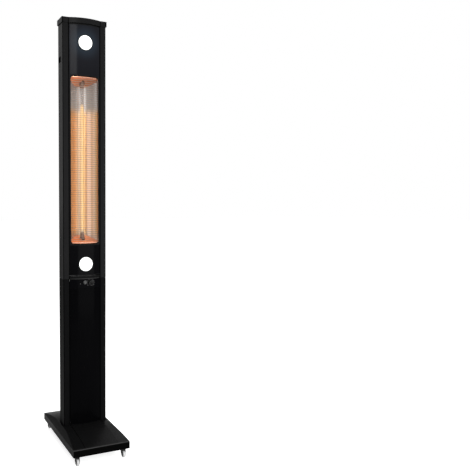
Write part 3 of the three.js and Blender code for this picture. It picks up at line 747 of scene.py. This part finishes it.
class HEATER_OT_finishes(bpy.types.Operator):
    """Makes the heater's materials and puts them on the CAD nodes that keep their shape"""

    bl_idname = "heater.finishes"
    bl_label = "Finishes"

    def execute(self, context):
        make_coats(context.scene.heater_looks)
        make_plain_finishes()
        make_lamp_finishes(context.scene.heater_looks)
        kept = {
            "cast iron": ("ballast_block", "base_plate", "top_crossbar"),
            "brushed steel": ("column_foot", "column_top_plate", "power_driver", "swivel_spindle",
                              "spindle_collar", "pivot_shaft_left", "pivot_shaft_right"),
            "circuit board": ("control_board",),
            "sintered bronze": ("swivel_bearing", "pivot_bush_left", "pivot_bush_right"),
        }
        for finish, nodes in kept.items():
            for node in nodes:
                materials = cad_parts[node].data.materials
                if not materials:
                    materials.append(bpy.data.materials[finish])
                for index in range(len(materials)):
                    materials[index] = bpy.data.materials[finish]
        return {"FINISHED"}


class HEATER_OT_foot(bpy.types.Operator):
    """Models the hipped cover of the foot"""

    bl_idname = "heater.foot"
    bl_label = "Foot cover"

    def execute(self, context):
        sizes = context.scene.heater_sizes
        low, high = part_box("base_cover")
        rim, rise, drop, crease = 0.071, 0.025, 0.004, 0.072
        crest_x, crest_front, crest_back = 0.0995, COLUMN_Y - 0.0345, COLUMN_Y + 0.0345

        def outline(share):
            """Half width, half length, middle and height of the cover, part of the way to its crest."""
            front = -high.y + (crest_front + high.y) * share
            back = high.y + (crest_back - high.y) * share
            half_x = high.x + (crest_x - high.x) * share
            return half_x, (back - front) / 2, (front + back) / 2, rim + rise * (1 - (1 - share) ** 2)

        cover = block("foot_cover", low, (high.x, high.y, rim))
        shares = (0.0, 0.08, 0.17, 0.27, 0.38, 0.5, 0.63, 0.76, 0.88, 1.0)
        with Editing(cover) as edit:
            edit.facing("z", 1)
            for before, after in zip(shares, shares[1:]):
                half_x, half_y, middle, height = outline(before)
                next_x, next_y, next_middle, next_height = outline(after)
                edit.extrude((0, next_middle - middle, next_height - height))
                edit.resize((next_x / half_x, next_y / half_y, 1), (0, next_middle, next_height))
            edit.faces(lambda c, n: abs(n.z) > 0.9 and (c.z < low.z + 0.001 or c.z > rim + rise - 1e-5))
            bpy.ops.mesh.delete(type="FACE")
            for side in (-1, 1):
                edit.bisect((side * crease, 0, 0), (1, 0, 0))
            edit.round_edges(lambda a, b: abs(a.z - rim) < 1e-6 and abs(b.z - rim) < 1e-6, 0.0028, 4)
            edit.edges(lambda a, b: abs(abs(a.x) - crease) < 1e-5 and abs(abs(b.x) - crease) < 1e-5)
            bpy.ops.mesh.mark_sharp()
            for share in shares[1:]:
                height = outline(share)[3]
                edit.points(lambda p: abs(p.z - height) < 1e-5 and abs(p.x) > crease + 0.0005)
                edit.move((0, 0, -drop * share))
            edit.outward()
        wall(cover, sizes.sheet)
        gap, top = 0.0005, 0.13
        reach = SHAFT_REACH + gap
        shaft = block("shaft", (-reach, FACE_Y - gap, rim), (reach, COLUMN_Y + HALF_DEPTH + gap, top))
        front = block("front", (-0.0702, FACE_Y - 0.03, rim), (0.0702, FACE_Y + 0.01, top))
        combine(front, bow_tool(PANEL_REACH, 0.06, 0.14, gap), how="INTERSECT")
        combine(cover, shaft, front)
        soften(cover, 0.0008, 2, 20)
        dress(smooth(cover, 6), "foot coat", "base", "satin_black", "base_cover")
        return {"FINISHED"}


class HEATER_OT_castors(bpy.types.Operator):
    """Models one castor and sets a copy under each corner of the foot"""

    bl_idname = "heater.castors"
    bl_label = "Castors"

    def execute(self, context):
        wheel_y, wheel_z = 0.008, 0.014

        def rod_x(name, radius, half, sides):
            return rod(name, radius, (-half, wheel_y, wheel_z), (half, wheel_y, wheel_z), sides)

        wheel = rod_x("wheel", 0.014, 0.005, 64)
        with Editing(wheel) as edit:
            edit.round_edges(lambda a, b: abs(a.x - b.x) < 1e-6, 0.0016, 4)
            for side in (-1, 1):
                edit.faces(lambda c, n: n.x * side > 0.99 and abs(c.x) > 0.00499)
                edit.press(0.0022, (-side * 0.0012, 0, 0))
                edit.press(0.004, (side * 0.0014, 0, 0))
        combine(wheel, rod_x("bore", 0.0028, 0.02, 32))
        smooth(wheel, 35)

        fork = block("fork", (-0.0083, -0.0108, 0.0085), (0.0083, 0.0120, 0.0385))
        with Editing(fork) as edit:
            edit.points(lambda p: p.z < 0.01 and p.y < 0)
            edit.move((0, 0.0135, 0))
            edit.points(lambda p: p.z < 0.01 and p.y > 0.01)
            edit.move((0, 0.0025, 0))
            edit.round_edges(lambda a, b: max(a.z, b.z) < 0.0095 and abs(a.x - b.x) > 0.01, 0.0045, 6)
        mouth = block("mouth", (-0.0058, -0.03, -0.002), (0.0058, 0.05, 0.0142))
        combine(fork, rod_x("well", 0.0156, 0.0058, 64), mouth, rod_x("eye", 0.0028, 0.02, 32))
        combine(fork, rod_z("crown", 0.012, 0, 0.0365, 0.0412, 64), how="UNION")
        combine(fork, rod_z("stem", 0.0045, 0, 0.040, 0.0515, 32), how="UNION")
        soften(fork, 0.0006, 2)

        axle = rod_x("axle", 0.0025, 0.0088, 32)
        with Editing(axle) as edit:
            for side in (-1, 1):
                edit.facing("x", side)
                edit.extrude((side * 0.0002, 0, 0))
                edit.resize((1, 1.5, 1.5), (side * 0.009, wheel_y, wheel_z))
                edit.extrude((side * 0.0006, 0, 0))
                edit.resize((1, 0.7, 0.7), (side * 0.0096, wheel_y, wheel_z))
        smooth(axle, 40)

        for place in PLACES:
            low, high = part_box("castor_fork_" + place)
            rear = "rear" in place
            at = Vector(((low.x + high.x) / 2, 0.205 if rear else -0.205, 0))
            turn = Matrix.Rotation(0 if rear else math.pi, 4, "Z")
            for model, finish, body, slot, node in (
                (fork, "moulded black", "castor_", "black_plastic", "castor_fork_"),
                (axle, "brushed steel", "castor_", "steel", "castor_axle_"),
                (wheel, "grey tyre", "wheel_", "wheel_grey", "castor_wheel_"),
            ):
                pick(model)
                bpy.ops.object.duplicate()
                twin = bpy.context.object
                twin.name = twin.data.name = model.name + "_" + place
                twin.matrix_world = Matrix.Translation(at) @ turn
                dress(twin, finish, body + place, slot, node + place)
        for model in (fork, axle, wheel):
            bpy.data.objects.remove(model)
        return {"FINISHED"}


class HEATER_OT_column(bpy.types.Operator):
    """Models the lower column's rails, panels and cable gland"""

    bl_idname = "heater.column"
    bl_label = "Column"

    def execute(self, context):
        sizes = context.scene.heater_sizes
        for side in SIDES:
            node = "column_rail_" + side
            rail = rounded_post("rail_" + side, *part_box(node), sizes.corner)
            dress(soften(rail, 0.0004, 2, 60), "rail coat", "base", "satin_black", node)

        front = soften(bowed_sheet("front_panel", "column_front_panel"), 0.0007, 3, 60)
        dress(front, "column lacquer", "base", "panel_black", "column_front_panel")

        low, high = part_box("column_rear_panel")
        back = high.y
        rear = block("rear_panel", low, high)
        combine(rear, rod_y("hole", 0.0093, 0, GLAND_Z, low.y - 0.01, back + 0.01))
        cut_vents(rear, "column_vent_baffle", "base", 0.045, 0.570, 8, back, low.y - 0.0024)
        dress(soften(rear, 0.0004, 2, 60), "satin coat", "base", "satin_black", "column_rear_panel")
        screw_rows("rear_panel_screws", "base", 0.062, back, (0.130, 0.420, 0.722))

        gland = rod_y("cable_gland", 0.013, 0, GLAND_Z, back + 0.0003, back + 0.006, 6)
        soften(gland, 0.0006, 3)
        dome = rod_y("dome", 0.009, 0, GLAND_Z, back + 0.005, back + 0.0125, 48, 0.0072)
        combine(dome, rod_y("throat", 0.0036, 0, GLAND_Z, back + 0.004, back + 0.02, 32))
        for count in range(8):
            angle = count * math.pi / 4
            x, z = 0.0062 * math.cos(angle), GLAND_Z + 0.0062 * math.sin(angle)
            start, end = (x - 0.0006, back + 0.0085, z - 0.0006), (x + 0.0006, back + 0.014, z + 0.0006)
            combine(dome, block("notch", start, end))
        thread = rod_y("thread", 0.009, 0, GLAND_Z, back - 0.010, back + 0.004)
        combine(gland, thread, dome, how="UNION")
        dress(smooth(gland, 35), "moulded black", "base", "black_plastic", "mains_gland")
        return {"FINISHED"}


class HEATER_OT_controls(bpy.types.Operator):
    """Models the control fascia, its knob, push button and status light"""

    bl_idname = "heater.controls"
    bl_label = "Controls"

    def execute(self, context):
        face = COLUMN_Y - 0.047
        fascia = bowed_sheet("fascia", "control_fascia")
        combine(fascia, rod_y("boss", 0.016, KNOB_X, KNOB_Z, face + 0.0055, face - 0.0004, 64), how="UNION")
        for radius, x, z in ((0.004, KNOB_X, KNOB_Z), (0.0088, BUTTON_X, BUTTON_Z), (0.0023, -0.025, 0.720)):
            combine(fascia, rod_y("hole", radius, x, z, face - 0.02, face + 0.03))
        dress(soften(fascia, 0.0005, 3, 50), "fascia gloss", "base", "fascia_black", "control_fascia")

        back, x, z = face - 0.0007, KNOB_X, KNOB_Z
        knob = rod_y("knob", 0.014, x, z, back, back - 0.0025, 96)
        with Editing(knob) as edit:
            edit.facing("y", -1)
            edit.press(0.0012, (0, -0.0075, 0))
            edit.resize((0.87, 1, 0.87), (x, back - 0.01, z))
            edit.press(0.0010, (0, -0.0006, 0))
        grip = block("grip", (x - 0.0021, back - 0.0125, z - 0.0095),
                     (x + 0.0021, back - 0.004, z + 0.0095))
        soften(grip, 0.0008, 3)
        combine(knob, grip, how="UNION")
        for count in range(18):
            across, up = math.sin(count * math.tau / 18), math.cos(count * math.tau / 18)
            foot, tip = ((x + r * across, back - deep, z + r * up)
                         for r, deep in ((0.0135, 0.0030), (0.0120, 0.0125)))
            combine(knob, rod("flute", 0.0011, foot, tip, 12))
        combine(knob, rod_y("shaft", 0.0035, x, z, back - 0.001, face + 0.014, 32), how="UNION")
        dress(soften(knob, 0.00035, 2, 40), "glossy black", "knob", "black_plastic", "rotary_knob")
        ring = rod_y("knob_ring", 0.0112, x, z, back - 0.0098, back - 0.0103, 96)
        combine(ring, rod_y("hole", 0.0102, x, z, back - 0.02, back, 96))
        dress(soften(ring, 0.0002, 2, 50), "button steel", "knob", "steel")
        mark = block("knob_pointer", (x - 0.0005, back - 0.0128, z + 0.0015),
                     (x + 0.0005, back - 0.0120, z + 0.0090))
        dress(soften(mark, 0.0002, 2), "pale mark", "knob", "lens_white")

        x, z = BUTTON_X, BUTTON_Z
        button = rod_y("button", 0.0085, x, z, face + 0.004, face - 0.0024, 64)
        press_face(button, "y", -1, (0.0012, (0, 0.0008, 0)), (0.0008, (0, -0.0012, 0)))
        combine(button, rod_y("stem", 0.003, x, z, face + 0.003, face + 0.011, 32), how="UNION")
        dress(soften(button, 0.0003, 2, 40), "button steel", "button", "steel", "light_button")

        low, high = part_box("status_lens")
        centre = (low + high) / 2
        lens = rod_y("status_light", 0.002, centre.x, centre.z, high.y, low.y + 0.0004, 32)
        dome_front(lens, (0.0004, 0.0003), (0.0006, 0.0001))
        dress(smooth(lens, 60), "pale mark", "base", "lens_white", "status_lens")
        return {"FINISHED"}


class HEATER_OT_posts(bpy.types.Operator):
    """Models the frame: two posts, foot bar, top cap and the covers over the tilt pivots"""

    bl_idname = "heater.posts"
    bl_label = "Frame"

    def execute(self, context):
        sizes = context.scene.heater_sizes
        for side, sign in SIDES.items():
            low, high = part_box("post_" + side)
            post = rounded_post("upright_" + side, low, high, sizes.corner)
            cover_low, cover_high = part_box("pivot_cover_" + side)
            margin = Vector((0, 0.0003, 0.0003))
            start, end = cover_low - margin, cover_high + margin
            (start if sign < 0 else end).x += sign * 0.002
            combine(post, block("recess", start, end))
            bush_low, bush_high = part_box("pivot_bush_" + side)
            inner, bush_z = min(abs(low.x), abs(high.x)) * sign, (bush_low.z + bush_high.z) / 2
            ends = [(inner + sign * x, TILT_Y, bush_z) for x in (-0.002, 0.0045)]
            combine(post, rod("bore", 0.0123, *ends))
            dress(soften(post, 0.0004, 2, 60), "satin coat", "frame", "satin_black", "post_" + side)

            cover = rounded_block("pivot_plug_" + side, cover_low, cover_high, "x", 0.003, 5)
            press_face(cover, "x", sign, (0.0016, (-sign * 0.0006, 0, 0)))
            dress(soften(cover, 0.0003, 2, 40), "matt black", "frame", "black_plastic", "pivot_cover_" + side)

        low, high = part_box("foot_bar")
        plate = bowed_plate("foot_bar_plate", high.x, high.y, low.z, high.z)
        combine(plate, rod_z("hole", 0.016, COLUMN_Y, low.z - 0.01, high.z + 0.01, 64))
        dress(soften(plate, 0.0012, 3, 50), "bar coat", "frame", "satin_black", "foot_bar")
        pad = bowed_plate("glide_pad", high.x - 0.003, high.y - 0.003, low.z - 0.0038, low.z)
        combine(pad, rod_z("hole", 0.0318, COLUMN_Y, low.z - 0.01, high.z + 0.01, 64))
        dress(soften(pad, 0.0004, 2, 50), "moulded black", "frame", "black_plastic")

        low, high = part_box("top_cap")
        face, below = COLUMN_Y - 0.036, low.z - 0.01
        cap = block("cap", (low.x, face, low.z), high)
        nose = block("nose", (-0.070, face - 0.03, low.z), (0.070, face + 0.01, high.z))
        combine(nose, bow_tool(0.070, below, high.z + 0.01, face=face), how="INTERSECT")
        combine(cap, nose, how="UNION")
        soften(cap, 0.0026, 5, 25)
        hollow_x, hollow_y = 0.0943, 0.0283
        combine(cap, block("hollow", (-hollow_x, COLUMN_Y - hollow_y, below),
                           (hollow_x, COLUMN_Y + hollow_y, low.z + 0.0076)))
        dress(smooth(cap, 30), "satin coat", "frame", "satin_black", "top_cap")
        return {"FINISHED"}


class HEATER_OT_head(bpy.types.Operator):
    """Models the radiant head's shell, front panels, end caps and window frame"""

    bl_idname = "heater.head"
    bl_label = "Head shell"

    def execute(self, context):
        sizes = context.scene.heater_sizes
        low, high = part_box("head_rear_shell")
        back = high.y
        shell = block("head_shell", low, high)
        with Editing(shell) as edit:
            edit.round_edges(lambda a, b: abs(a.z - b.z) > 0.1 and a.y > low.y + 0.01, 0.004, 6)
            edit.faces(lambda c, n: n.y < -0.9 or abs(n.z) > 0.9)
            bpy.ops.mesh.delete(type="FACE")
            edit.outward()
        wall(turn_sheet(shell, 1), sizes.sheet)
        combine(shell, rod("bore", 0.009, (-0.2, TILT_Y, TILT_Z), (0.2, TILT_Y, TILT_Z)))
        for part, start in (("low", 0.930), ("high", 1.545)):
            cut_vents(shell, "vent_baffle_" + part, "head", 0.040, start, 6, back, back - 0.0042)
        dress(soften(shell, 0.0004, 2, 60), "satin coat", "head", "satin_black", "head_rear_shell")
        screw_rows("head_shell_screws", "head", 0.056, back, (0.775, 1.045, 1.315, 1.585, 1.815))

        for part in ("upper", "lower"):
            node = "head_front_" + part
            panel = bowed_sheet("head_panel_" + part, node)
            low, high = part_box("led_housing_" + part)
            combine(panel, rod_y("hole", 0.0338, 0, (low.z + high.z) / 2, -0.2, 0.02, 96))
            dress(soften(panel, 0.0006, 3, 50), "panel lacquer", "head", "panel_black", node)

        for part in ENDS:
            node = "head_end_cap_" + part
            low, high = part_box(node)
            cap = bowed_plate("head_cap_" + part, high.x, high.y, low.z, high.z)
            dress(soften(cap, 0.0008, 3, 40), "satin coat", "head", "satin_black", node)

        window = bowed_sheet("window_surround", "window_frame")
        start, end = (-0.063, -0.2, 0.894), (0.063, 0.05, 1.617)
        combine(window, rounded_block("opening", start, end, "y", sizes.window_corner, 8))
        dress(soften(window, 0.0006, 3, 50), "satin coat", "head", "satin_black", "window_frame")
        return {"FINISHED"}


class HEATER_OT_guard(bpy.types.Operator):
    """Models the guard: bent wires across the window, held by a rod at each side"""

    bl_idname = "heater.guard"
    bl_label = "Wire guard"

    def execute(self, context):
        sizes = context.scene.heater_sizes
        low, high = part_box("guard_grille")
        tall, first = high.z - low.z, low.z + sizes.wire
        count = round(tall / 0.0095) + 1
        radius, centre = bow(BOW_REACH)
        radius -= sizes.panel + 0.0003 + sizes.wire
        half = math.asin((high.x - 0.001) / radius)
        end_y = centre - math.cos(half) * radius
        deselect()
        bpy.ops.mesh.primitive_circle_add(
            vertices=8, radius=sizes.wire, fill_type="NGON",
            location=(-math.sin(half) * radius, end_y, first), rotation=(0, math.pi / 2, -half))
        wires = name_piece("guard_wires")
        with Editing(wires) as edit:
            edit.everything()
            bpy.ops.mesh.spin(steps=20, angle=-2 * half, center=(0, centre, first), axis=(0, 0, 1))
            edit.outward()
        array(wires, count, (0, 0, (tall - 2 * sizes.wire) / (count - 1)))
        rods = []
        for side in (-1, 1):
            x, y = side * (high.x - 0.0012), end_y + 0.0016
            rods.append(rod("side_rod", 0.0012, (x, y, low.z), (x, y, high.z), 16))
        guard = join("guard", [wires, *rods])
        dress(smooth(guard, 60), "bright wire", "head", "guard_wire", "guard_grille")
        return {"FINISHED"}


# Half of the reflector's section from its ridge to its lip: how far out and how far back.
TROUGH_KNOTS = ((0.0, 0.0182), (0.0103, 0.0222), (0.0207, 0.0214), (0.031, 0.0145), (0.0413, 0.0044),
                (0.0517, -0.0079), (0.062, -0.0165))


def trough_line(inset=0.0, steps=6):
    """The reflector from lip to lip: deep wings beside a low ridge, with straight flanges."""
    half = [Vector((x - (inset if x > 0.06 else 0), COLUMN_Y + y - inset, 0)) for x, y in TROUGH_KNOTS]
    knots = [Vector((-k.x, k.y, 0)) for k in reversed(half[1:])] + half
    line = []
    last = len(knots) - 1
    for i in range(last):
        before, start, end, after = knots[max(i - 1, 0)], knots[i], knots[i + 1], knots[min(i + 2, last)]
        for step in range(steps):
            t = step / steps
            line.append(0.5 * (
                2 * start + (end - before) * t + (2 * before - 5 * start + 4 * end - after) * t * t
                + (3 * start - before - 3 * end + after) * t ** 3))
    line.append(knots[-1])
    front = COLUMN_Y - 0.030
    return [(-half[-1].x, front)] + [(p.x, p.y) for p in line] + [(half[-1].x, front)]


def fill_between(piece):
    """Closes the open trough into a solid: its mouth, then its two ends."""
    lip_x, lip_y = 0.061, COLUMN_Y - 0.029
    with Editing(piece) as edit:
        edit.edges(lambda a, b: abs(a.x - b.x) < 1e-7 and abs(a.y - b.y) < 1e-7
                   and abs(a.x) > lip_x and a.y < lip_y)
        bpy.ops.mesh.edge_face_add()
        bpy.ops.mesh.select_non_manifold(extend=False)
        bpy.ops.mesh.fill_holes(sides=0)
        edit.outward()


def slope_slab(piece, front, back, way, thickness=0.0018):
    """Keeps a thin sloping slab of the piece, whose outer face runs through two points."""
    front, back = Vector(front), Vector(back)
    up = Vector((1, 0, 0)).cross((back - front).normalized())
    if up.z * way < 0:
        up = -up
    with Editing(piece) as edit:
        edit.bisect(front, up, cut=True)
        edit.bisect(front - up * thickness * abs(up.z), -up, cut=True)
        edit.outward()


class HEATER_OT_reflector(bpy.types.Operator):
    """Models the polished trough behind the lamp and its two sloping ends"""

    bl_idname = "heater.reflector"
    bl_label = "Reflector"

    def execute(self, context):
        low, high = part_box("reflector")
        trough = turn_sheet(swept_sheet("trough", trough_line(), low.z, high.z), -1)
        wall(trough, 0.0012)
        dress(smooth(trough, 40), "polished reflector", "head", "polished_aluminium", "reflector")

        for part, way in ENDS.items():
            node = "reflector_end_" + part
            low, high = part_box(node)
            edge = high.z if way > 0 else low.z
            under, over = low.z - 0.01, high.z + 0.01
            slab = swept_sheet("trough_end_" + part, trough_line(0.0004), low.z, high.z)
            fill_between(slab)
            slope_slab(slab, (0, COLUMN_Y - 0.035, edge + way * 0.0015),
                       (0, COLUMN_Y + 0.028, edge - way * 0.0322), way)
            notch = block("notch", (-0.0065, COLUMN_Y - 0.018, under), (0.0065, COLUMN_Y, over))
            combine(slab, rod_z("hole", 0.0122, LAMP_Y, under, over), notch)
            lip_low = min(edge, edge + way * 0.0014)
            lip = bowed_plate("lip", BOW_REACH, COLUMN_Y - 0.028, lip_low, lip_low + 0.0014, proud=-0.0035)
            sides = block("sides", (-0.0614, -0.1, lip_low - 0.01), (0.0614, 0.1, lip_low + 0.01))
            combine(lip, sides, how="INTERSECT")
            combine(slab, lip, how="UNION")
            dress(soften(slab, 0.0004, 2, 40), "reflector end", "head", "polished_aluminium", node)
        return {"FINISHED"}


class HEATER_OT_lamp(bpy.types.Operator):
    """Models the heating lamp: amber tube, coil, pinched ends and ceramic holders"""

    bl_idname = "heater.lamp"
    bl_label = "Heating lamp"

    def execute(self, context):
        turns = context.scene.heater_sizes.coil_turns
        low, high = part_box("lamp_tube")
        tube = rod_z("tube", 0.007, LAMP_Y, low.z, high.z)
        for side in (-1, 1):
            press_face(tube, "z", side, (0.0012, (0, 0, -side * 0.010)))
        dress(smooth(tube, 40), "amber glass", "head", "lamp_glass", "lamp_tube")

        start, end = low.z + 0.010, high.z - 0.066
        pitch, steps = (end - start) / turns, 14
        deselect()
        bpy.ops.mesh.primitive_circle_add(
            vertices=6, radius=0.0008, fill_type="NGON", location=(0.0026, LAMP_Y, start),
            rotation=(math.pi / 2, 0, 0))
        coil = name_piece("coil")
        with Editing(coil) as edit:
            edit.everything()
            for _ in range(steps):
                edit.extrude((0, 0, pitch / steps))
                bpy.ops.transform.rotate(
                    value=math.tau / steps, orient_axis="Z", center_override=(0, LAMP_Y, 0))
            edit.outward()
        array(coil, turns, (0, 0, pitch))
        leads = [rod_z("lead", 0.0007, LAMP_Y, *span, 12)
                 for span in ((low.z, start + 0.002), (end - 0.002, high.z))]
        coil = join("coil", [coil, *leads])
        dress(smooth(coil, 60), "glowing coil", "head", "lamp_glow", "lamp_filament")

        for part, way in ENDS.items():
            node = "lamp_end_" + part
            low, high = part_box(node)
            near, far = (low.z, high.z) if way > 0 else (high.z, low.z)
            holder = rod_z("lamp_holder_" + part, 0.009, LAMP_Y, near, far - way * 0.012)
            press_face(holder, "z", way, (0.0035, (0, 0, way * 0.012)))
            dress(soften(holder, 0.0008, 3, 40), "lamp ceramic", "head", "ceramic_white", node)
        return {"FINISHED"}


class HEATER_OT_lights(bpy.types.Operator):
    """Models the two round lights: housing, rim and prismatic lens"""

    bl_idname = "heater.lights"
    bl_label = "Round lights"

    def execute(self, context):
        for part in ("upper", "lower"):
            low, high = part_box("led_housing_" + part)
            middle = (low.z + high.z) / 2
            cup = rod_y("light_housing_" + part, 0.0335, 0, middle, high.y, low.y, 96)
            press_face(cup, "y", -1, (0.003, (0, 0.012, 0)))
            press_face(cup, "y", 1, (0.004, (0, 0.0001, 0)))
            start, end = (-0.0012, high.y - 0.010, middle - 0.05), (0.0012, high.y + 0.01, middle + 0.05)
            fins = block("fin", start, end)
            array(fins, 9, (0.0065, 0, 0))
            fins.location.x = -0.026
            combine(cup, settle(fins))
            dress(soften(cup, 0.0004, 2, 40), "moulded black", "head", "black_plastic", "led_housing_" + part)

            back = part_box("led_lens_" + part)[1].y
            lens = rod_y("light_lens_" + part, 0.0302, 0, middle, back, back - 0.005, 96)
            dome_front(lens, (0.0022, 0.0014), (0.005, 0.0011), (0.007, 0.0007), (0.007, 0.0003))
            dress(smooth(lens, 70), "lit opal lens", "head", "lens_white", "led_lens_" + part)
        return {"FINISHED"}


class HEATER_OT_stage(bpy.types.Operator):
    """Sets floor, backdrop, soft lights and the camera at the photograph's angle"""

    bl_idname = "heater.stage"
    bl_label = "Stage"

    def execute(self, context):
        scene, stage = context.scene, context.scene.heater_stage
        scene.view_settings.view_transform = "Standard"

        pale = Finish("pale floor", Roughness=0.9, Specular_IOR_Level=0.1)
        pale.shade(pale.noise(3.0), grey(stage.floor_level), grey(stage.floor_level * 1.03))
        pale.glow(pale.seen(0.2), BLACK, grey(stage.floor_lift), 1.0)
        deselect()
        bpy.ops.mesh.primitive_plane_add(size=60, location=(0, 0, 0))
        floor = name_piece("floor")
        floor.data.materials.append(pale.material)

        world = scene.world or bpy.data.worlds.new("studio")
        scene.world = world
        world.use_nodes = True
        sky = Tree(world.node_tree, "Background")
        sky.shader.inputs["Color"].default_value = (1, 1, 1, 1)
        sky.feed("Strength", sky.seen() * (1 - stage.sky_level) + stage.sky_level)

        self.lamp("key", (-0.75, -2.4, 2.5), (0, 0, 1.7), (0.9, 0.8), stage.key_power)
        self.lamp("top", (0.15, -0.1, 3.4), (0, 0, 0), (0.6, 0.6), stage.top_power)
        self.lamp("front", (0.89, -2.44, 1.05), (0, 0, 1.05), (2.4, 2.0), stage.front_power)
        self.lamp("back", (2.1, 1.9, 2.2), (0, 0, 1.0), (1.6, 1.6), stage.back_power)
        scene.camera = self.camera((-0.8099, -2.4069 + COLUMN_Y, 1.0781), 23.362, 3.319, 0.117, 571.27, 130)
        return {"FINISHED"}

    def place(self, name, data, at, turn):
        """Puts a lamp or the camera in the scene."""
        thing = bpy.data.objects.new(name, data)
        bpy.context.scene.collection.objects.link(thing)
        thing.matrix_world = Matrix.Translation(at) @ turn.to_4x4()
        return thing

    def lamp(self, name, at, to, size, power):
        data = bpy.data.lights.new(name, "AREA")
        data.shape = "RECTANGLE"
        data.size, data.size_y = size
        data.energy = power
        self.place(name, data, at, (Vector(to) - Vector(at)).to_track_quat("-Z", "Y").to_matrix())

    def camera(self, at, yaw, pitch, roll, focal, vanishing, frame_width=470):
        """Camera turned by degrees. Its focal length and the column that its axis meets are given
        in the photograph's pixels."""
        turn = Euler((math.radians(90 - pitch), 0, math.radians(-yaw))).to_matrix()
        data = bpy.data.cameras.new("camera")
        data.sensor_width = 36
        data.lens = focal / frame_width * data.sensor_width
        data.shift_x = (frame_width / 2 - vanishing) / frame_width
        data.clip_end = 60
        return self.place("camera", data, at, turn @ Matrix.Rotation(math.radians(roll), 3, "Z"))


STEPS = (
    HEATER_OT_finishes, HEATER_OT_foot, HEATER_OT_castors, HEATER_OT_column, HEATER_OT_controls,
    HEATER_OT_posts, HEATER_OT_head, HEATER_OT_guard, HEATER_OT_reflector, HEATER_OT_lamp,
    HEATER_OT_lights, HEATER_OT_stage,
)
GROUPS = {"heater_sizes": HeaterSizes, "heater_looks": HeaterLooks, "heater_stage": HeaterStage}


class HEATER_PT_panel(bpy.types.Panel):
    """Lists the heater's settings and the steps that model it"""

    bl_label = "Patio heater"
    bl_idname = "HEATER_PT_panel"
    bl_space_type = "VIEW_3D"
    bl_region_type = "UI"
    bl_category = "Heater"

    def draw(self, context):
        for name in GROUPS:
            group = getattr(context.scene, name)
            for key in group.bl_rna.properties.keys():
                if key not in ("rna_type", "name"):
                    self.layout.prop(group, key)
        for step in STEPS:
            self.layout.operator(step.bl_idname)


def register():
    for kind in (*GROUPS.values(), *STEPS, HEATER_PT_panel):
        bpy.utils.register_class(kind)
    for key, kind in GROUPS.items():
        setattr(bpy.types.Scene, key, bpy.props.PointerProperty(type=kind))


def unregister():
    for key in GROUPS:
        delattr(bpy.types.Scene, key)
    for kind in (HEATER_PT_panel, *reversed(STEPS), *GROUPS.values()):
        bpy.utils.unregister_class(kind)


def main():
    register()
    for step in STEPS:
        group, action = step.bl_idname.split(".")
        getattr(getattr(bpy.ops, group), action)()


if __name__ == "__main__":
    main()
